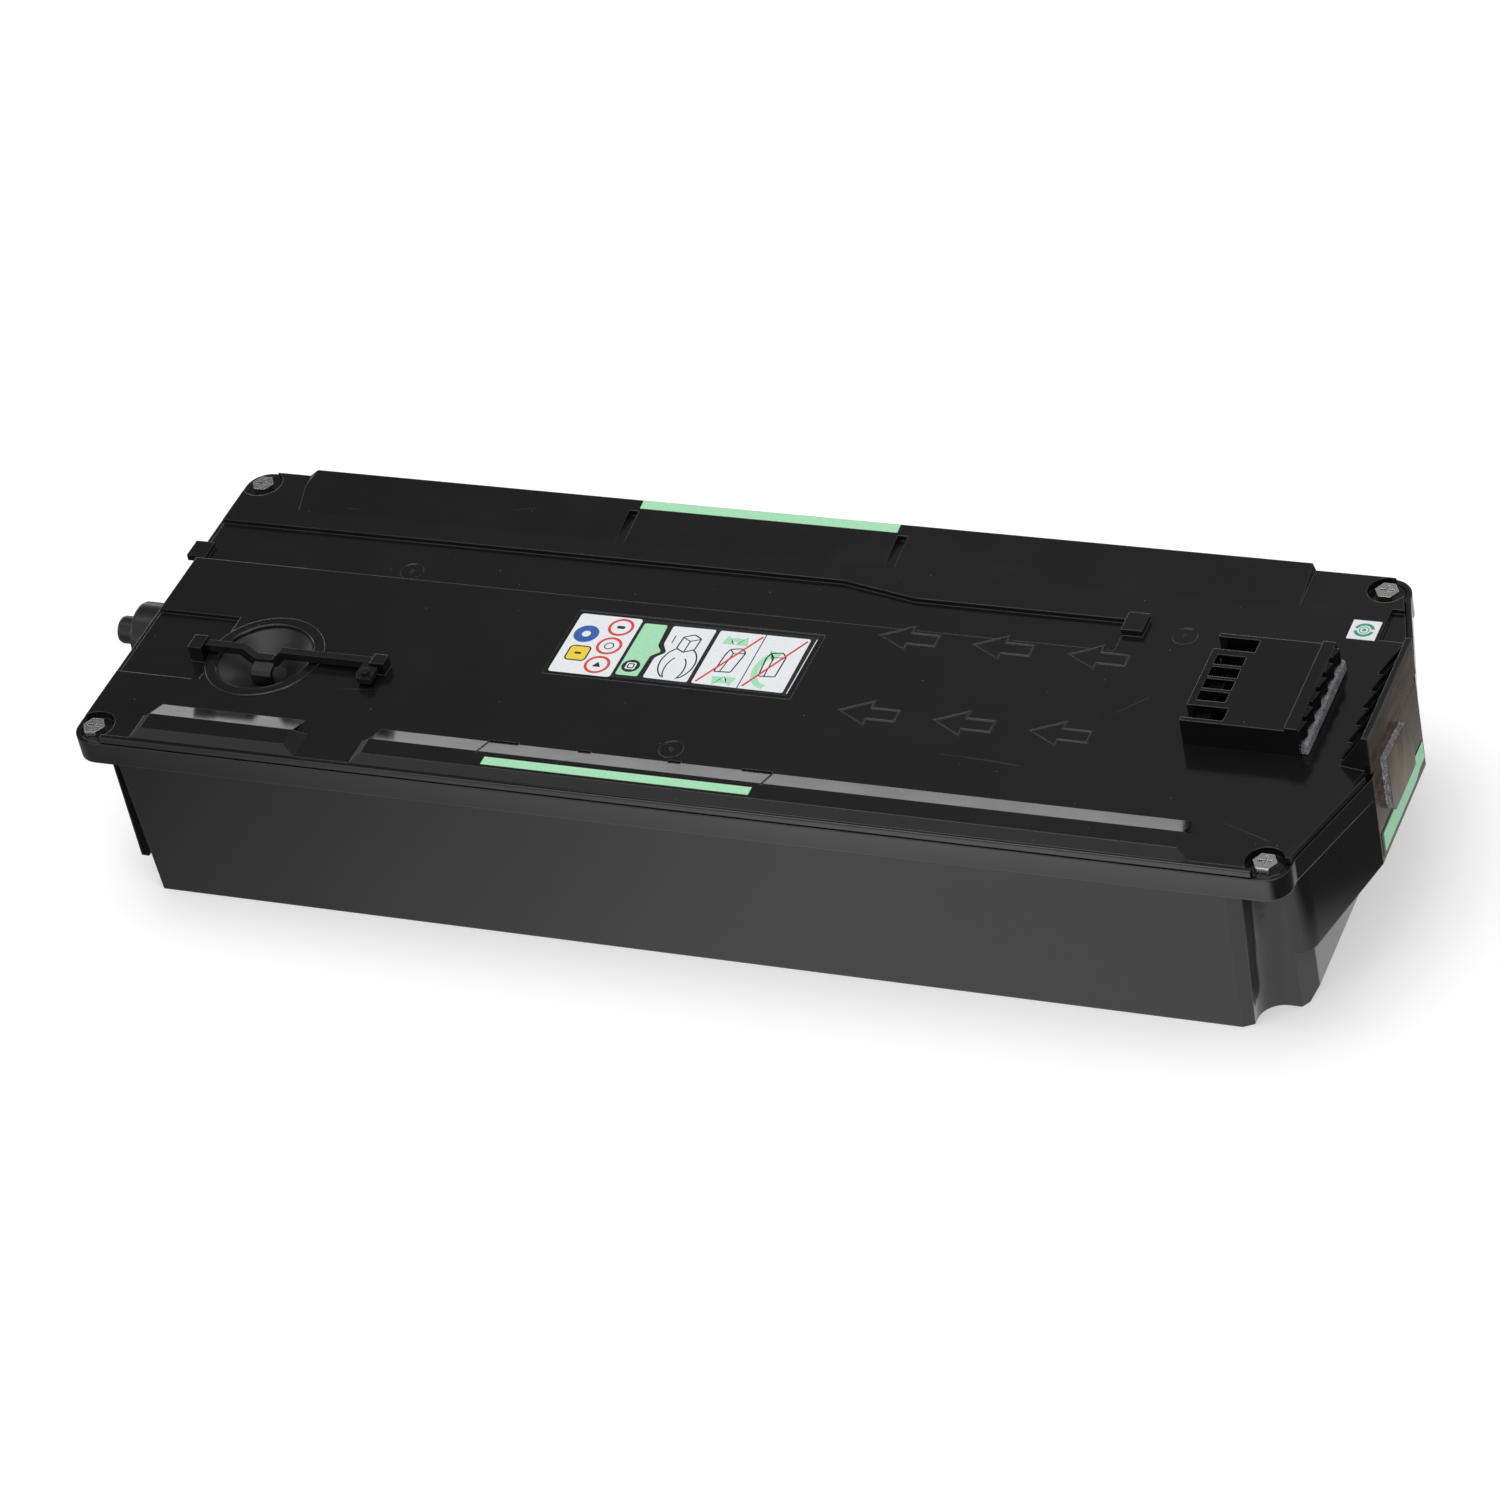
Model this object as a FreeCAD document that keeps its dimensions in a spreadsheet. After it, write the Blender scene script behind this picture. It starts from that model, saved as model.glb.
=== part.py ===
import FreeCAD, Part
import math
import os

import Sketcher
from FreeCAD import Placement, Rotation, Vector

# A waste toner bottle for a colour copier: a long drafted tub with a flanged rim, a moulded cover held by
# four screws, an auger turned by a coupling at the left end, and a feeler lever that rides on a rubber
# diaphragm. +X runs along the bottle to the end with the hood, +Y to the rear and +Z up. The origin is on
# the flat bottom, midway between the four screws. Every length is in millimetres.

os.makedirs("parts", exist_ok=True)
doc = FreeCAD.newDocument("WasteTonerBottle")

# The driving dimensions: alias, value, and what it measures.
DIMENSIONS = [
    ("screw_span", 400.0, "between the screws, along the bottle"),
    ("screw_depth", 131.6, "between the screws, front to rear"),
    ("rim_end", 7.5, "from a screw to the rim at the left and right"),
    ("rim_front", 6.2, "from a screw to the rim at the front"),
    ("rim_rear", 8.7, "from a screw to the rim at the rear"),
    ("rim_corner", 8.0, "radius of the rim's corners"),
    ("rim_wall", 1.8, "thickness of the rim and its skirt"),
    ("rim_step", 2.6, "top of the rim below the cover's top"),
    ("shelf_deep", 5.4, "shelf inside the rim, below the rim's top"),
    ("skirt_lap", 0.8, "lower edge of the skirt below the shelf's underside"),
    ("shelf_thick", 2.0, "thickness of that shelf"),
    ("nose_reach", 12.5, "how far the right end stands out from the rim"),
    ("nose_front", 21.0, "front corner of the right end, from the middle"),
    ("nose_rear", 27.0, "rear corner of the right end, from the middle"),
    ("shoulder_front", 61.0, "where the front shoulder starts"),
    ("shoulder_rear", 66.0, "where the rear shoulder starts"),
    ("tub_left", 192.1, "left wall of the tub at the shelf"),
    ("tub_right", 191.9, "right wall of the tub at the shelf"),
    ("tub_front", 70.1, "front wall of the tub at the shelf"),
    ("tub_rear", 71.6, "rear wall of the tub at the shelf"),
    ("tub_draft", 1.4, "how much each wall leans in at the bottom"),
    ("tub_wall", 2.0, "thickness of the tub's walls"),
    ("tub_floor", 2.2, "thickness of the tub's floor"),
    ("bevel_long", 4.6, "bevel at the tub's right corners, along the bottle"),
    ("bevel_foot", 3.4, "that bevel at the bottom"),
    ("bevel_deep", 2.0, "bevel at the tub's right corners, front to rear"),
    ("leg_inset", 2.0, "from the rim's right side in to the right face of the leg"),
    ("leg_step", 13.5, "from the tub's front wall back to the leg"),
    ("leg_bevel", 4.2, "bevel at the leg's upright corners"),
    ("cove", 8.0, "radius of the hollow between tub and leg"),
    ("leg_toe", 4.0, "height of the bevel at the foot of the leg"),
    ("nose_tall", 35.5, "height of the right end below the shelf, beside the leg"),
    ("nose_lift", 8.5, "how much that underside rises to the end wall"),
    ("shoulder_round", 8.0, "radius of the column under the front right screw"),
    ("nose_overhang", 3.0, "how far the skirt stands out past the shoulder wall"),
    ("end_seam", 0.3, "gap between tub and cover in the end wall"),
    ("cover_height", 67.0, "top of the cover above the bottom"),
    ("cover_thick", 2.2, "thickness of the cover's top"),
    ("cover_gap", 0.3, "gap between the cover's edge and the rim"),
    ("cover_inset", 0.2, "extra step in at the front and rear of the cover"),
    ("cover_land", 5.0, "width of the cover's edge over the gasket"),
    ("gasket_thick", 2.0, "squeezed thickness of the gasket"),
    ("gasket_wide", 1.8, "width of the gasket"),
    ("screw_boss", 5.0, "radius of the bosses under the screws"),
    ("boss_end", 0.6, "boss below the end of a screw"),
    ("screw_shank", 1.95, "radius of a screw's shank"),
    ("screw_play", 0.05, "clearance between shank and boss"),
    ("screw_long", 7.4, "length of a screw's shank"),
    ("screw_across", 7.8, "head of a screw across its corners"),
    ("screw_head", 2.8, "height of a screw's hexagon head"),
    ("screw_seat", 7.0, "radius of the recess round a screw at the left"),
    ("screw_seat_right", 6.3, "radius of the recess round a screw at the right"),
    ("screw_seat_deep", 2.8, "depth of the recess round a screw"),
    ("driver_slot", 4.6, "length of the cross recess"),
    ("driver_wide", 1.0, "width of the cross recess"),
    ("driver_deep", 1.6, "depth of the cross recess"),
    ("channel_deep", 1.7, "depth of the long channel in the cover"),
    ("channel_front", 23.3, "front side of the channel"),
    ("channel_rear", 44.5, "rear side of the channel at the left"),
    ("channel_pinch", 5.4, "how much the channel narrows at the right"),
    ("channel_bend", 23.0, "where the channel starts to narrow"),
    ("channel_bent", 50.0, "where the channel has narrowed"),
    ("channel_end", 123.0, "right end of the channel"),
    ("stop_long", 7.0, "small block at the end of the channel, along the bottle"),
    ("stop_deep", 9.0, "small block, front to rear"),
    ("stop_high", 2.4, "small block above the cover"),
    ("pocket_right", 174.8, "right side of the pocket at the left end"),
    ("pocket_rear", 5.0, "rear side of that pocket"),
    ("pocket_front", 38.0, "front side of that pocket"),
    ("pocket_deep", 1.6, "depth of that pocket"),
    ("tab_middle", 28.0, "middle of the tab on the left edge"),
    ("tab_wide", 8.0, "width of that tab"),
    ("tab_reach", 4.0, "how far the tab stands out from the cover"),
    ("dish_place", 157.0, "middle of the diaphragm, left of the middle"),
    ("dish_front", 23.4, "middle of the diaphragm, in front of the middle"),
    ("dish_hole", 16.8, "radius of the hole for the diaphragm"),
    ("dish_ring", 20.3, "radius of the retaining ring"),
    ("dish_play", 0.2, "clearance round the retaining ring"),
    ("rubber_thick", 0.8, "thickness of the diaphragm"),
    ("dish_deep", 7.2, "depth of the diaphragm's cone"),
    ("dish_flat", 6.0, "radius of the flat middle of the diaphragm"),
    ("ring_proud", 0.4, "how far the ring stands above the cover"),
    ("ridge_high", 3.0, "height of the front ridges"),
    ("ridge_rear", 52.0, "rear foot of the ridges' slope"),
    ("ridge_crest", 60.4, "rear edge of the ridges' flat top"),
    ("ridge_hip", 3.8, "length of the sloped ends of a ridge"),
    ("ridge_face", 2.0, "how much the front of a ridge leans back"),
    ("short_ridge_left", 185.0, "left end of the short ridge"),
    ("short_ridge_right", 125.0, "right end of the short ridge"),
    ("long_ridge_left", 105.0, "left end of the long ridge"),
    ("long_ridge_right", 177.0, "right end of the long ridge"),
    ("grip_left", 62.5, "left end of the finger grip"),
    ("grip_right", 35.0, "right end of the finger grip"),
    ("split_wide", 0.5, "width and depth of the split lines beside the grip"),
    ("hook_long", 4.2, "length of the two inner hooks behind the grip"),
    ("hook_end", 10.0, "length of the two outer hooks behind the grip"),
    ("hook_wide", 1.5, "width of the small hooks"),
    ("ramp_front", 53.0, "front foot of the rear ramp"),
    ("ramp_high", 2.8, "height of the rear ramp"),
    ("ramp_left", 184.6, "left end of the rear ramp"),
    ("ramp_right", 174.9, "right end of the rear ramp"),
    ("ramp_hip", 3.6, "length of the sloped left end of the ramp"),
    ("ramp_bank", 4.6, "how far the foot of that end runs back to the front"),
    ("ramp_step", 0.8, "length of the steep right end of the ramp"),
    ("ramp_groove", 3.4, "width of the two notches in the ramp"),
    ("ramp_groove_rear", 67.3, "rear side of those notches"),
    ("step_left", 204.3, "left side of the low corner at the right"),
    ("step_front", 41.0, "front side of the low corner"),
    ("step_rear", 56.6, "rear side of the low corner"),
    ("step_deep", 1.6, "depth of the low corner"),
    ("end_wall_high", 13.0, "height of the end wall above the cover"),
    ("end_wall_thick", 1.8, "thickness of the end wall"),
    ("end_lip", 1.3, "thickness of the lip that carries the end wall"),
    ("gusset_long", 9.4, "length of a gusset at its foot"),
    ("gusset_thick", 1.2, "thickness of a gusset"),
    ("gusset_pitch", 8.26, "between two gussets"),
    ("gusset_count", 6, "how many gussets"),
    ("hood_left", 159.0, "left side of the hood"),
    ("hood_right", 193.0, "right side of the hood"),
    ("hood_front", 17.8, "front side of the hood, in front of the middle"),
    ("hood_rear", 25.0, "rear side of the hood"),
    ("hood_high", 10.0, "height of the hood"),
    ("hood_wall", 1.6, "thickness of the hood"),
    ("hood_slot_long", 13.5, "length of the hood's two slots"),
    ("hood_slot_wide", 6.0, "width of the hood's two slots"),
    ("hood_window_long", 9.4, "length of the hood's windows"),
    ("hood_window_wide", 4.6, "width of the hood's windows"),
    ("hood_bar", 1.3, "bars between the windows"),
    ("hood_eave", 3.6, "how far the hood's roof stands out to the comb"),
    ("comb_count", 6, "teeth of the comb"),
    ("hood_step", 1.0, "how much the eave stands above the roof"),
    ("comb_thick", 1.4, "thickness of the comb's wall"),
    ("comb_tooth", 1.5, "how far the teeth stand out from the comb's wall"),
    ("comb_gap", 4.6, "from the cover up to the teeth"),
    ("port_inset", 4.0, "from the hood's sides to the port under it"),
    ("foam_high", 4.4, "height of the foam strip"),
    ("foam_wide", 2.3, "width of the foam strip"),
    ("axle_drop", 7.0, "axis of the auger below the shelf's underside"),
    ("axle_rear", 2.0, "axis of the auger behind the middle"),
    ("axle", 3.0, "radius of the auger's shaft"),
    ("running_gap", 0.05, "running clearance, on the radius"),
    ("bush_wall", 3.0, "wall of the two bushes"),
    ("bush_play", 0.03, "clearance round the bushes and the seal"),
    ("bush_long", 6.0, "length of the left bush"),
    ("bush_flange", 0.8, "flange of a bush"),
    ("seal_long", 3.4, "length of the shaft seal"),
    ("collar_wall", 3.0, "wall of the collar on the tub"),
    ("collar_long", 6.0, "how far the collar stands out from the left wall"),
    ("post_place", 182.0, "left face of the bearing post"),
    ("post_thick", 4.0, "thickness of the bearing post"),
    ("post_half", 9.0, "half width of the bearing post"),
    ("flight", 8.0, "radius of the auger's blades"),
    ("flight_thick", 1.2, "thickness of a blade"),
    ("flight_tilt", 28.0, "lean of the blades, in degrees"),
    ("flight_pitch", 26.5, "from one pair of blades to the next"),
    ("flight_count", 13, "how many pairs of blades"),
    ("flight_start", 172.0, "first pair of blades, left of the middle"),
    ("thrust_collar", 5.6, "radius of the collars that keep the shaft in place"),
    ("thrust_long", 2.0, "length of those collars"),
    ("thrust_gap", 0.4, "gap beside those collars"),
    ("coupling_disc", 10.3, "radius of the coupling's disc"),
    ("coupling_disc_long", 11.2, "length of the disc"),
    ("coupling_gap", 1.1, "gap between the rim and the disc"),
    ("coupling_knob", 4.75, "radius of the coupling's knob"),
    ("coupling_knob_long", 8.0, "length of the knob"),
    ("coupling_round", 1.2, "rounding of the coupling's edges"),
    ("coupling_bite", 7.0, "how far the shaft goes into the coupling"),
    ("lever_axis", 2.4, "axis of the lever above the cover"),
    ("lever_pin", 1.1, "radius of the lever's end pins"),
    ("lever_pin_long", 3.6, "length of the lever's end pins"),
    ("lever_bar", 2.8, "side of the lever's square bar"),
    ("lever_side", 0.4, "side clearance of the lever"),
    ("lever_drop", 3.6, "how far the crank dips"),
    ("lever_crank", 9.2, "length of the crank's low part"),
    ("lever_ramp", 3.8, "length of the crank's slopes"),
    ("lever_foot_reach", 5.6, "how far the foot reaches to the front"),
    ("lever_foot_gap", 0.3, "gap between foot and diaphragm"),
    ("flag_long", 4.8, "length of the lever's flag, along the bottle"),
    ("flag_past", 3.4, "how far the flag stands out past the bar's end"),
    ("flag_reach", 9.4, "how far the flag reaches to the front"),
    ("flag_thick", 2.0, "thickness of the flag"),
    ("left_bracket", 182.8, "left face of the left bracket"),
    ("right_bracket", 111.6, "right face of the right bracket"),
    ("bracket_long", 4.8, "length of a bracket"),
    ("bracket_front", 4.2, "how far the left bracket reaches to the front of the lever's axis"),
    ("bracket_half", 2.4, "how far a bracket reaches behind the lever's axis"),
    ("bracket_over", 2.1, "bracket above the lever's axis"),
    ("hanger_left", 197.0, "outer face of the hanging tongue"),
    ("hanger_thick", 0.5, "thickness of the hanging tongue"),
    ("hanger_front", 66.5, "front edge of the tongue"),
    ("hanger_wide", 9.0, "width of the tongue"),
    ("hanger_low", 9.0, "lower end of the tongue above the bottom"),
    ("hanger_block", 8.0, "length of the small block beside it"),
    ("hanger_lug", 7.0, "height of that block"),
    ("pad_thick", 2.1, "thickness of the foam pad on the end wall"),
    ("film_thick", 0.2, "thickness of the film on the foam pad"),
    ("pad_front", 12.0, "front edge of the foam pad"),
    ("pad_rear", 12.0, "rear edge of the foam pad"),
    ("pad_top", 1.8, "top of the foam pad below the cover's top"),
    ("pad_high", 22.0, "height of the foam pad"),
    ("pad_bevel", 4.0, "bevelled corners of the foam pad"),
    ("label_thick", 0.15, "thickness of the labels"),
    ("label_left", 58.0, "left edge of the large label"),
    ("label_right", 26.0, "right edge of the large label"),
    ("label_half", 15.0, "half width of the large label"),
    ("label_margin", 1.4, "from the label to the edge of its recess"),
    ("label_recess", 0.25, "depth of the label's recess"),
    ("badge_place", 198.6, "middle of the small label"),
    ("badge_rear", 45.0, "middle of the small label behind the middle"),
    ("badge_long", 9.2, "length of the small label"),
    ("badge_wide", 9.4, "width of the small label"),
    ("strip_left", 59.0, "left end of the front green strip"),
    ("strip_right", 33.0, "right end of the front green strip"),
    ("strip_wide", 3.6, "width of the front green strip"),
    ("strip_back", 2.4, "from the ridge's rear edge to the front green strip"),
    ("rear_strip_left", 58.6, "left end of the rear green strip"),
    ("rear_strip_right", 33.6, "right end of the rear green strip"),
    ("rear_strip_wide", 3.6, "width of the rear green strip"),
    ("end_strip_high", 9.0, "height of the strip on the end wall"),
    ("end_strip_gap", 2.2, "from the foam pad down to that strip"),
    ("arrow_tip", 44.7, "tip of the first arrow"),
    ("arrow_pitch", 32.0, "between two arrows"),
    ("arrow_row", 19.0, "the two rows of arrows, from the middle"),
    ("arrow_long", 20.5, "length of an arrow"),
    ("arrow_head", 11.0, "length of an arrow's head"),
    ("arrow_wide", 12.8, "width of an arrow's head"),
    ("arrow_shaft", 5.8, "width of an arrow's shaft"),
    ("arrow_line", 0.5, "width of an arrow's raised line"),
    ("arrow_raise", 0.25, "height of an arrow's raised line"),
    ("gate_mark", 4.0, "radius of the moulding marks"),
    ("gate_pip", 0.7, "radius of the pip in a moulding mark"),
    ("gate_deep", 0.25, "depth of a moulding mark"),
]

sheet = doc.addObject("Spreadsheet::Sheet", "Sheet")
for row, (alias, value, note) in enumerate(DIMENSIONS, start=1):
    sheet.set(f"A{row}", note)
    sheet.set(f"B{row}", str(value))
    sheet.setAlias(f"B{row}", alias)
doc.recompute()


class Size:
    # A length that carries its number and the expression over the sheet that gives it.
    def __init__(self, value, text):
        self.value = value
        self.text = text

    def joined(self, other, sign, value):
        return Size(value, f"({self.text} {sign} {other.text})")

    def __add__(self, other):
        other = size(other)
        return self.joined(other, "+", self.value + other.value)

    def __sub__(self, other):
        other = size(other)
        return self.joined(other, "-", self.value - other.value)

    def __mul__(self, other):
        other = size(other)
        return self.joined(other, "*", self.value * other.value)

    def __truediv__(self, other):
        other = size(other)
        return self.joined(other, "/", self.value / other.value)

    def __neg__(self):
        return Size(-self.value, f"(0 - {self.text})")


def size(number):
    if isinstance(number, Size):
        return number
    return Size(float(number), f"({number})")


class Dimensions:
    pass


D = Dimensions()
for alias, value, note in DIMENSIONS:
    setattr(D, alias, Size(float(value), f"Sheet.{alias}"))
ZERO = size(0)


# Making and shaping bodies.
def new_body(name):
    body = doc.addObject("PartDesign::Body", name)
    body.Label = name
    return body


def sketch_on(body, role, level, name):
    sketch = body.newObject("Sketcher::SketchObject", f"{body.Name}_{name}")
    plane = next(item for item in body.Origin.OriginFeatures if item.Role == role)
    sketch.AttachmentSupport = [(plane, "")]
    sketch.MapMode = "FlatFace"
    height = -level if role == "XZ_Plane" else level
    sketch.setExpression("AttachmentOffset.Base.z", height.text)
    return sketch


def pin(sketch, geometry, end, x, y):
    for kind, distance in (("DistanceX", x), ("DistanceY", y)):
        limit = Sketcher.Constraint(kind, -1, 1, geometry, end, distance.value)
        index = sketch.addConstraint(limit)
        sketch.setExpression(f"Constraints[{index}]", distance.text)


def polygon(sketch, corners):
    corners = [(size(x), size(y)) for x, y in corners]
    points = [Vector(x.value, y.value, 0) for x, y in corners]
    count = len(points)
    first = sketch.GeometryCount
    for index in range(count):
        sketch.addGeometry(Part.LineSegment(points[index], points[(index + 1) % count]), False)
    for index in range(count):
        after = first + (index + 1) % count
        sketch.addConstraint(Sketcher.Constraint("Coincident", first + index, 2, after, 1))
    for index, (x, y) in enumerate(corners):
        pin(sketch, first + index, 1, x, y)


def rectangle(sketch, left, low, right, high):
    polygon(sketch, [(left, low), (right, low), (right, high), (left, high)])


def circle(sketch, x, y, radius):
    x, y = size(x), size(y)
    ring = Part.Circle(Vector(x.value, y.value, 0), Vector(0, 0, 1), radius.value)
    geometry = sketch.addGeometry(ring, False)
    pin(sketch, geometry, 3, x, y)
    index = sketch.addConstraint(Sketcher.Constraint("Radius", geometry, radius.value))
    sketch.setExpression(f"Constraints[{index}]", radius.text)


def feature(body, kind, sketch, length=None, reverse=False):
    item = body.newObject(f"PartDesign::{kind}", f"{sketch.Name}_{kind}")
    item.Profile = sketch
    if length is not None:
        item.setExpression("Length", size(length).text)
    item.Reversed = reverse
    body.Tip = item
    return item


def pad(body, sketch, length, reverse=False):
    return feature(body, "Pad", sketch, length, reverse)


def pocket(body, sketch, length, reverse=False):
    return feature(body, "Pocket", sketch, length, reverse)


def loft(body, kind, lower, upper):
    item = body.newObject(f"PartDesign::{kind}", f"{lower.Name}_Loft")
    item.Profile = lower
    item.Sections = [upper]
    item.Ruled = True
    body.Tip = item
    return item


def revolve(body, sketch, kind="Revolution"):
    item = body.newObject(f"PartDesign::{kind}", f"{sketch.Name}_Turn")
    item.Profile = sketch
    item.ReferenceAxis = (sketch, ["V_Axis"])
    item.Angle = 360
    body.Tip = item
    return item


def upright_edges(shape, places, low, high):
    names = []
    for index, edge in enumerate(shape.Edges, start=1):
        ends = [vertex.Point for vertex in edge.Vertexes]
        if len(ends) != 2 or abs(ends[0].z - ends[1].z) < 0.5:
            continue
        middle = (ends[0] + ends[1]) / 2
        if not low.value - 0.1 <= middle.z <= high.value + 0.1:
            continue
        for x, y in places:
            if math.hypot(middle.x - size(x).value, middle.y - size(y).value) < 1.0:
                names.append(f"Edge{index}")
    return names


def dress(body, kind, name, edges, radius):
    base = body.Tip
    item = body.newObject(f"PartDesign::{kind}", f"{body.Name}_{name}")
    item.Base = (base, edges)
    item.setExpression("Radius" if kind == "Fillet" else "Size", size(radius).text)
    body.Tip = item
    doc.recompute()
    return item


def round_uprights(body, name, places, low, high, radius):
    doc.recompute()
    edges = upright_edges(body.Tip.Shape, places, low, high)
    if not edges:
        raise RuntimeError(f"{body.Name}: no upright edge found for {name}")
    return dress(body, "Fillet", name, edges, radius)


# Places that several pieces share.
left = -(D.screw_span / 2 + D.rim_end)
right = D.screw_span / 2 + D.rim_end
front = -(D.screw_depth / 2 + D.rim_front)
rear = D.screw_depth / 2 + D.rim_rear
nose = right + D.nose_reach
cover_top = D.cover_height
rim_top = cover_top - D.rim_step
shelf_top = rim_top - D.shelf_deep
shelf_low = shelf_top - D.shelf_thick
skirt_low = shelf_low - D.skirt_lap
cover_low = shelf_top + D.gasket_thick
boss_low = cover_top - D.screw_seat_deep - D.screw_long - D.boss_end
leg_east = right - D.leg_inset
leg_half = D.tub_front - D.leg_step
nose_low = shelf_low - D.nose_tall
cover_under = cover_top - D.cover_thick
cover_side = D.rim_wall + D.cover_gap
cover_front = front + cover_side + D.cover_inset
cover_rear = rear - cover_side - D.cover_inset
cover_left = left + cover_side
screw_x = D.screw_span / 2
screw_y = D.screw_depth / 2
SCREWS = [(-screw_x, -screw_y), (-screw_x, screw_y), (screw_x, -screw_y), (screw_x, screw_y)]
axle_y = D.axle_rear
axle_z = shelf_low - D.axle_drop
bush_radius = D.axle + D.running_gap + D.bush_wall
dish_x = -D.dish_place
dish_y = -D.dish_front
lever_y = dish_y
lever_z = cover_top + D.lever_axis


def rim_outline(inset, side=ZERO):
    # The rim seen from above, drawn in by an inset, and by a little more at the front and rear.
    skew = D.nose_reach / (D.shoulder_front - D.nose_front) / 2
    shift = inset * skew
    low = front + inset + side
    high = rear - inset - side
    return [
        (left + inset, low),
        (right - inset, low),
        (right - inset, -D.shoulder_front + shift),
        (nose - inset, -D.nose_front + shift),
        (nose - inset, D.nose_rear - shift),
        (right - inset, D.shoulder_rear - shift),
        (right - inset, high),
        (left + inset, high),
    ]


def rim_corners(inset, side=ZERO):
    outline = rim_outline(inset, side)
    return [outline[0], outline[1], outline[6], outline[7]]


# The tub: rim and shelf first, then the drafted body, the leg and the nose, then what is hollow.
def make_lower_tub():
    body = new_body("lower_tub")
    rim = sketch_on(body, "XY_Plane", skirt_low, "rim")
    polygon(rim, rim_outline(ZERO))
    pad(body, rim, rim_top - skirt_low)
    well = sketch_on(body, "XY_Plane", rim_top, "well")
    polygon(well, rim_outline(D.rim_wall))
    pocket(body, well, rim_top - shelf_top)
    inner_round = D.rim_corner - D.rim_wall
    round_uprights(body, "well_round", rim_corners(D.rim_wall), shelf_top, rim_top, inner_round)
    round_uprights(body, "rim_round", rim_corners(ZERO), skirt_low, rim_top, D.rim_corner)

    # The flange is hollow from below where it overhangs the left wall.
    hollow = sketch_on(body, "XY_Plane", skirt_low, "hollow")
    rectangle(hollow, left + D.rim_wall, front + D.rim_corner, -D.tub_left, rear - D.rim_corner)
    pocket(body, hollow, shelf_low - skirt_low, reverse=True)

    def tub_outline(lean, bevel, inset):
        west = -(D.tub_left - lean - inset)
        east = D.tub_right - lean - D.bevel_long + bevel - inset
        south = -(D.tub_front - lean - inset)
        north = D.tub_rear - lean - inset
        return [
            (west, south),
            (east - bevel, south),
            (east, south + D.bevel_deep),
            (east, north - D.bevel_deep),
            (east - bevel, north),
            (west, north),
        ]

    foot = sketch_on(body, "XY_Plane", ZERO, "foot")
    polygon(foot, tub_outline(D.tub_draft, D.bevel_foot, ZERO))
    brow = sketch_on(body, "XY_Plane", shelf_low, "brow")
    polygon(brow, tub_outline(ZERO, D.bevel_long, ZERO))
    loft(body, "AdditiveLoft", foot, brow)

    # The leg under the right end.
    leg = sketch_on(body, "XY_Plane", ZERO, "leg")
    inland = D.tub_right - D.cove
    polygon(leg, [
        (inland, -leg_half),
        (leg_east - D.leg_bevel, -leg_half),
        (leg_east, -leg_half + D.leg_bevel * 1.5),
        (leg_east, leg_half - D.leg_bevel * 1.5),
        (leg_east - D.leg_bevel, leg_half),
        (inland, leg_half),
    ])
    pad(body, leg, shelf_low)
    toe = sketch_on(body, "XZ_Plane", -leg_half * 1.2, "toe")
    polygon(toe, [
        (leg_east - D.leg_toe * 0.6, -D.leg_toe),
        (leg_east + D.leg_toe, -D.leg_toe),
        (leg_east + D.leg_toe, D.leg_toe),
        (leg_east, D.leg_toe),
        (leg_east - D.leg_toe * 0.6, ZERO),
    ])
    pocket(body, toe, leg_half * 2.4)

    # The nose: a trapezoid box whose underside rises to the end wall.
    slope = D.nose_reach / (D.shoulder_front - D.nose_front)
    chest = sketch_on(body, "XY_Plane", nose_low, "chest")
    shoulder_x = right + (D.shoulder_front - leg_half) * slope - D.nose_overhang
    polygon(chest, [
        (inland, -leg_half),
        (shoulder_x, -leg_half),
        (nose, -D.nose_front),
        (nose, D.nose_rear),
        (shoulder_x, leg_half),
        (inland, leg_half),
    ])
    pad(body, chest, shelf_low - nose_low)
    belly = sketch_on(body, "XZ_Plane", -leg_half * 1.2, "belly")
    polygon(belly, [
        (leg_east, nose_low - 1),
        (nose + 1, nose_low - 1),
        (nose + 1, nose_low + D.nose_lift * 1.1),
        (leg_east, nose_low),
    ])
    pocket(body, belly, leg_half * 2.4)
    column = [(shoulder_x, -leg_half), (shoulder_x, leg_half)]
    round_uprights(body, "shoulder_round", column, nose_low, shelf_low, D.shoulder_round)
    lean = D.tub_right - (D.tub_draft + D.bevel_long - D.bevel_foot) / 2
    coves = [(lean, -leg_half), (lean, leg_half)]
    round_uprights(body, "cove", coves, ZERO, shelf_low, D.cove)

    # The collar round the shaft, and the bosses that take the screws.
    collar_radius = bush_radius + D.collar_wall
    collar = sketch_on(body, "YZ_Plane", -D.tub_left - D.collar_long, "collar")
    circle(collar, axle_y, axle_z, collar_radius)
    pad(body, collar, D.collar_long + D.tub_wall)
    bosses = sketch_on(body, "XY_Plane", boss_low, "bosses")
    for x, y in SCREWS:
        circle(bosses, x, y, D.screw_boss)
    pad(body, bosses, shelf_top - boss_low)

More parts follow.
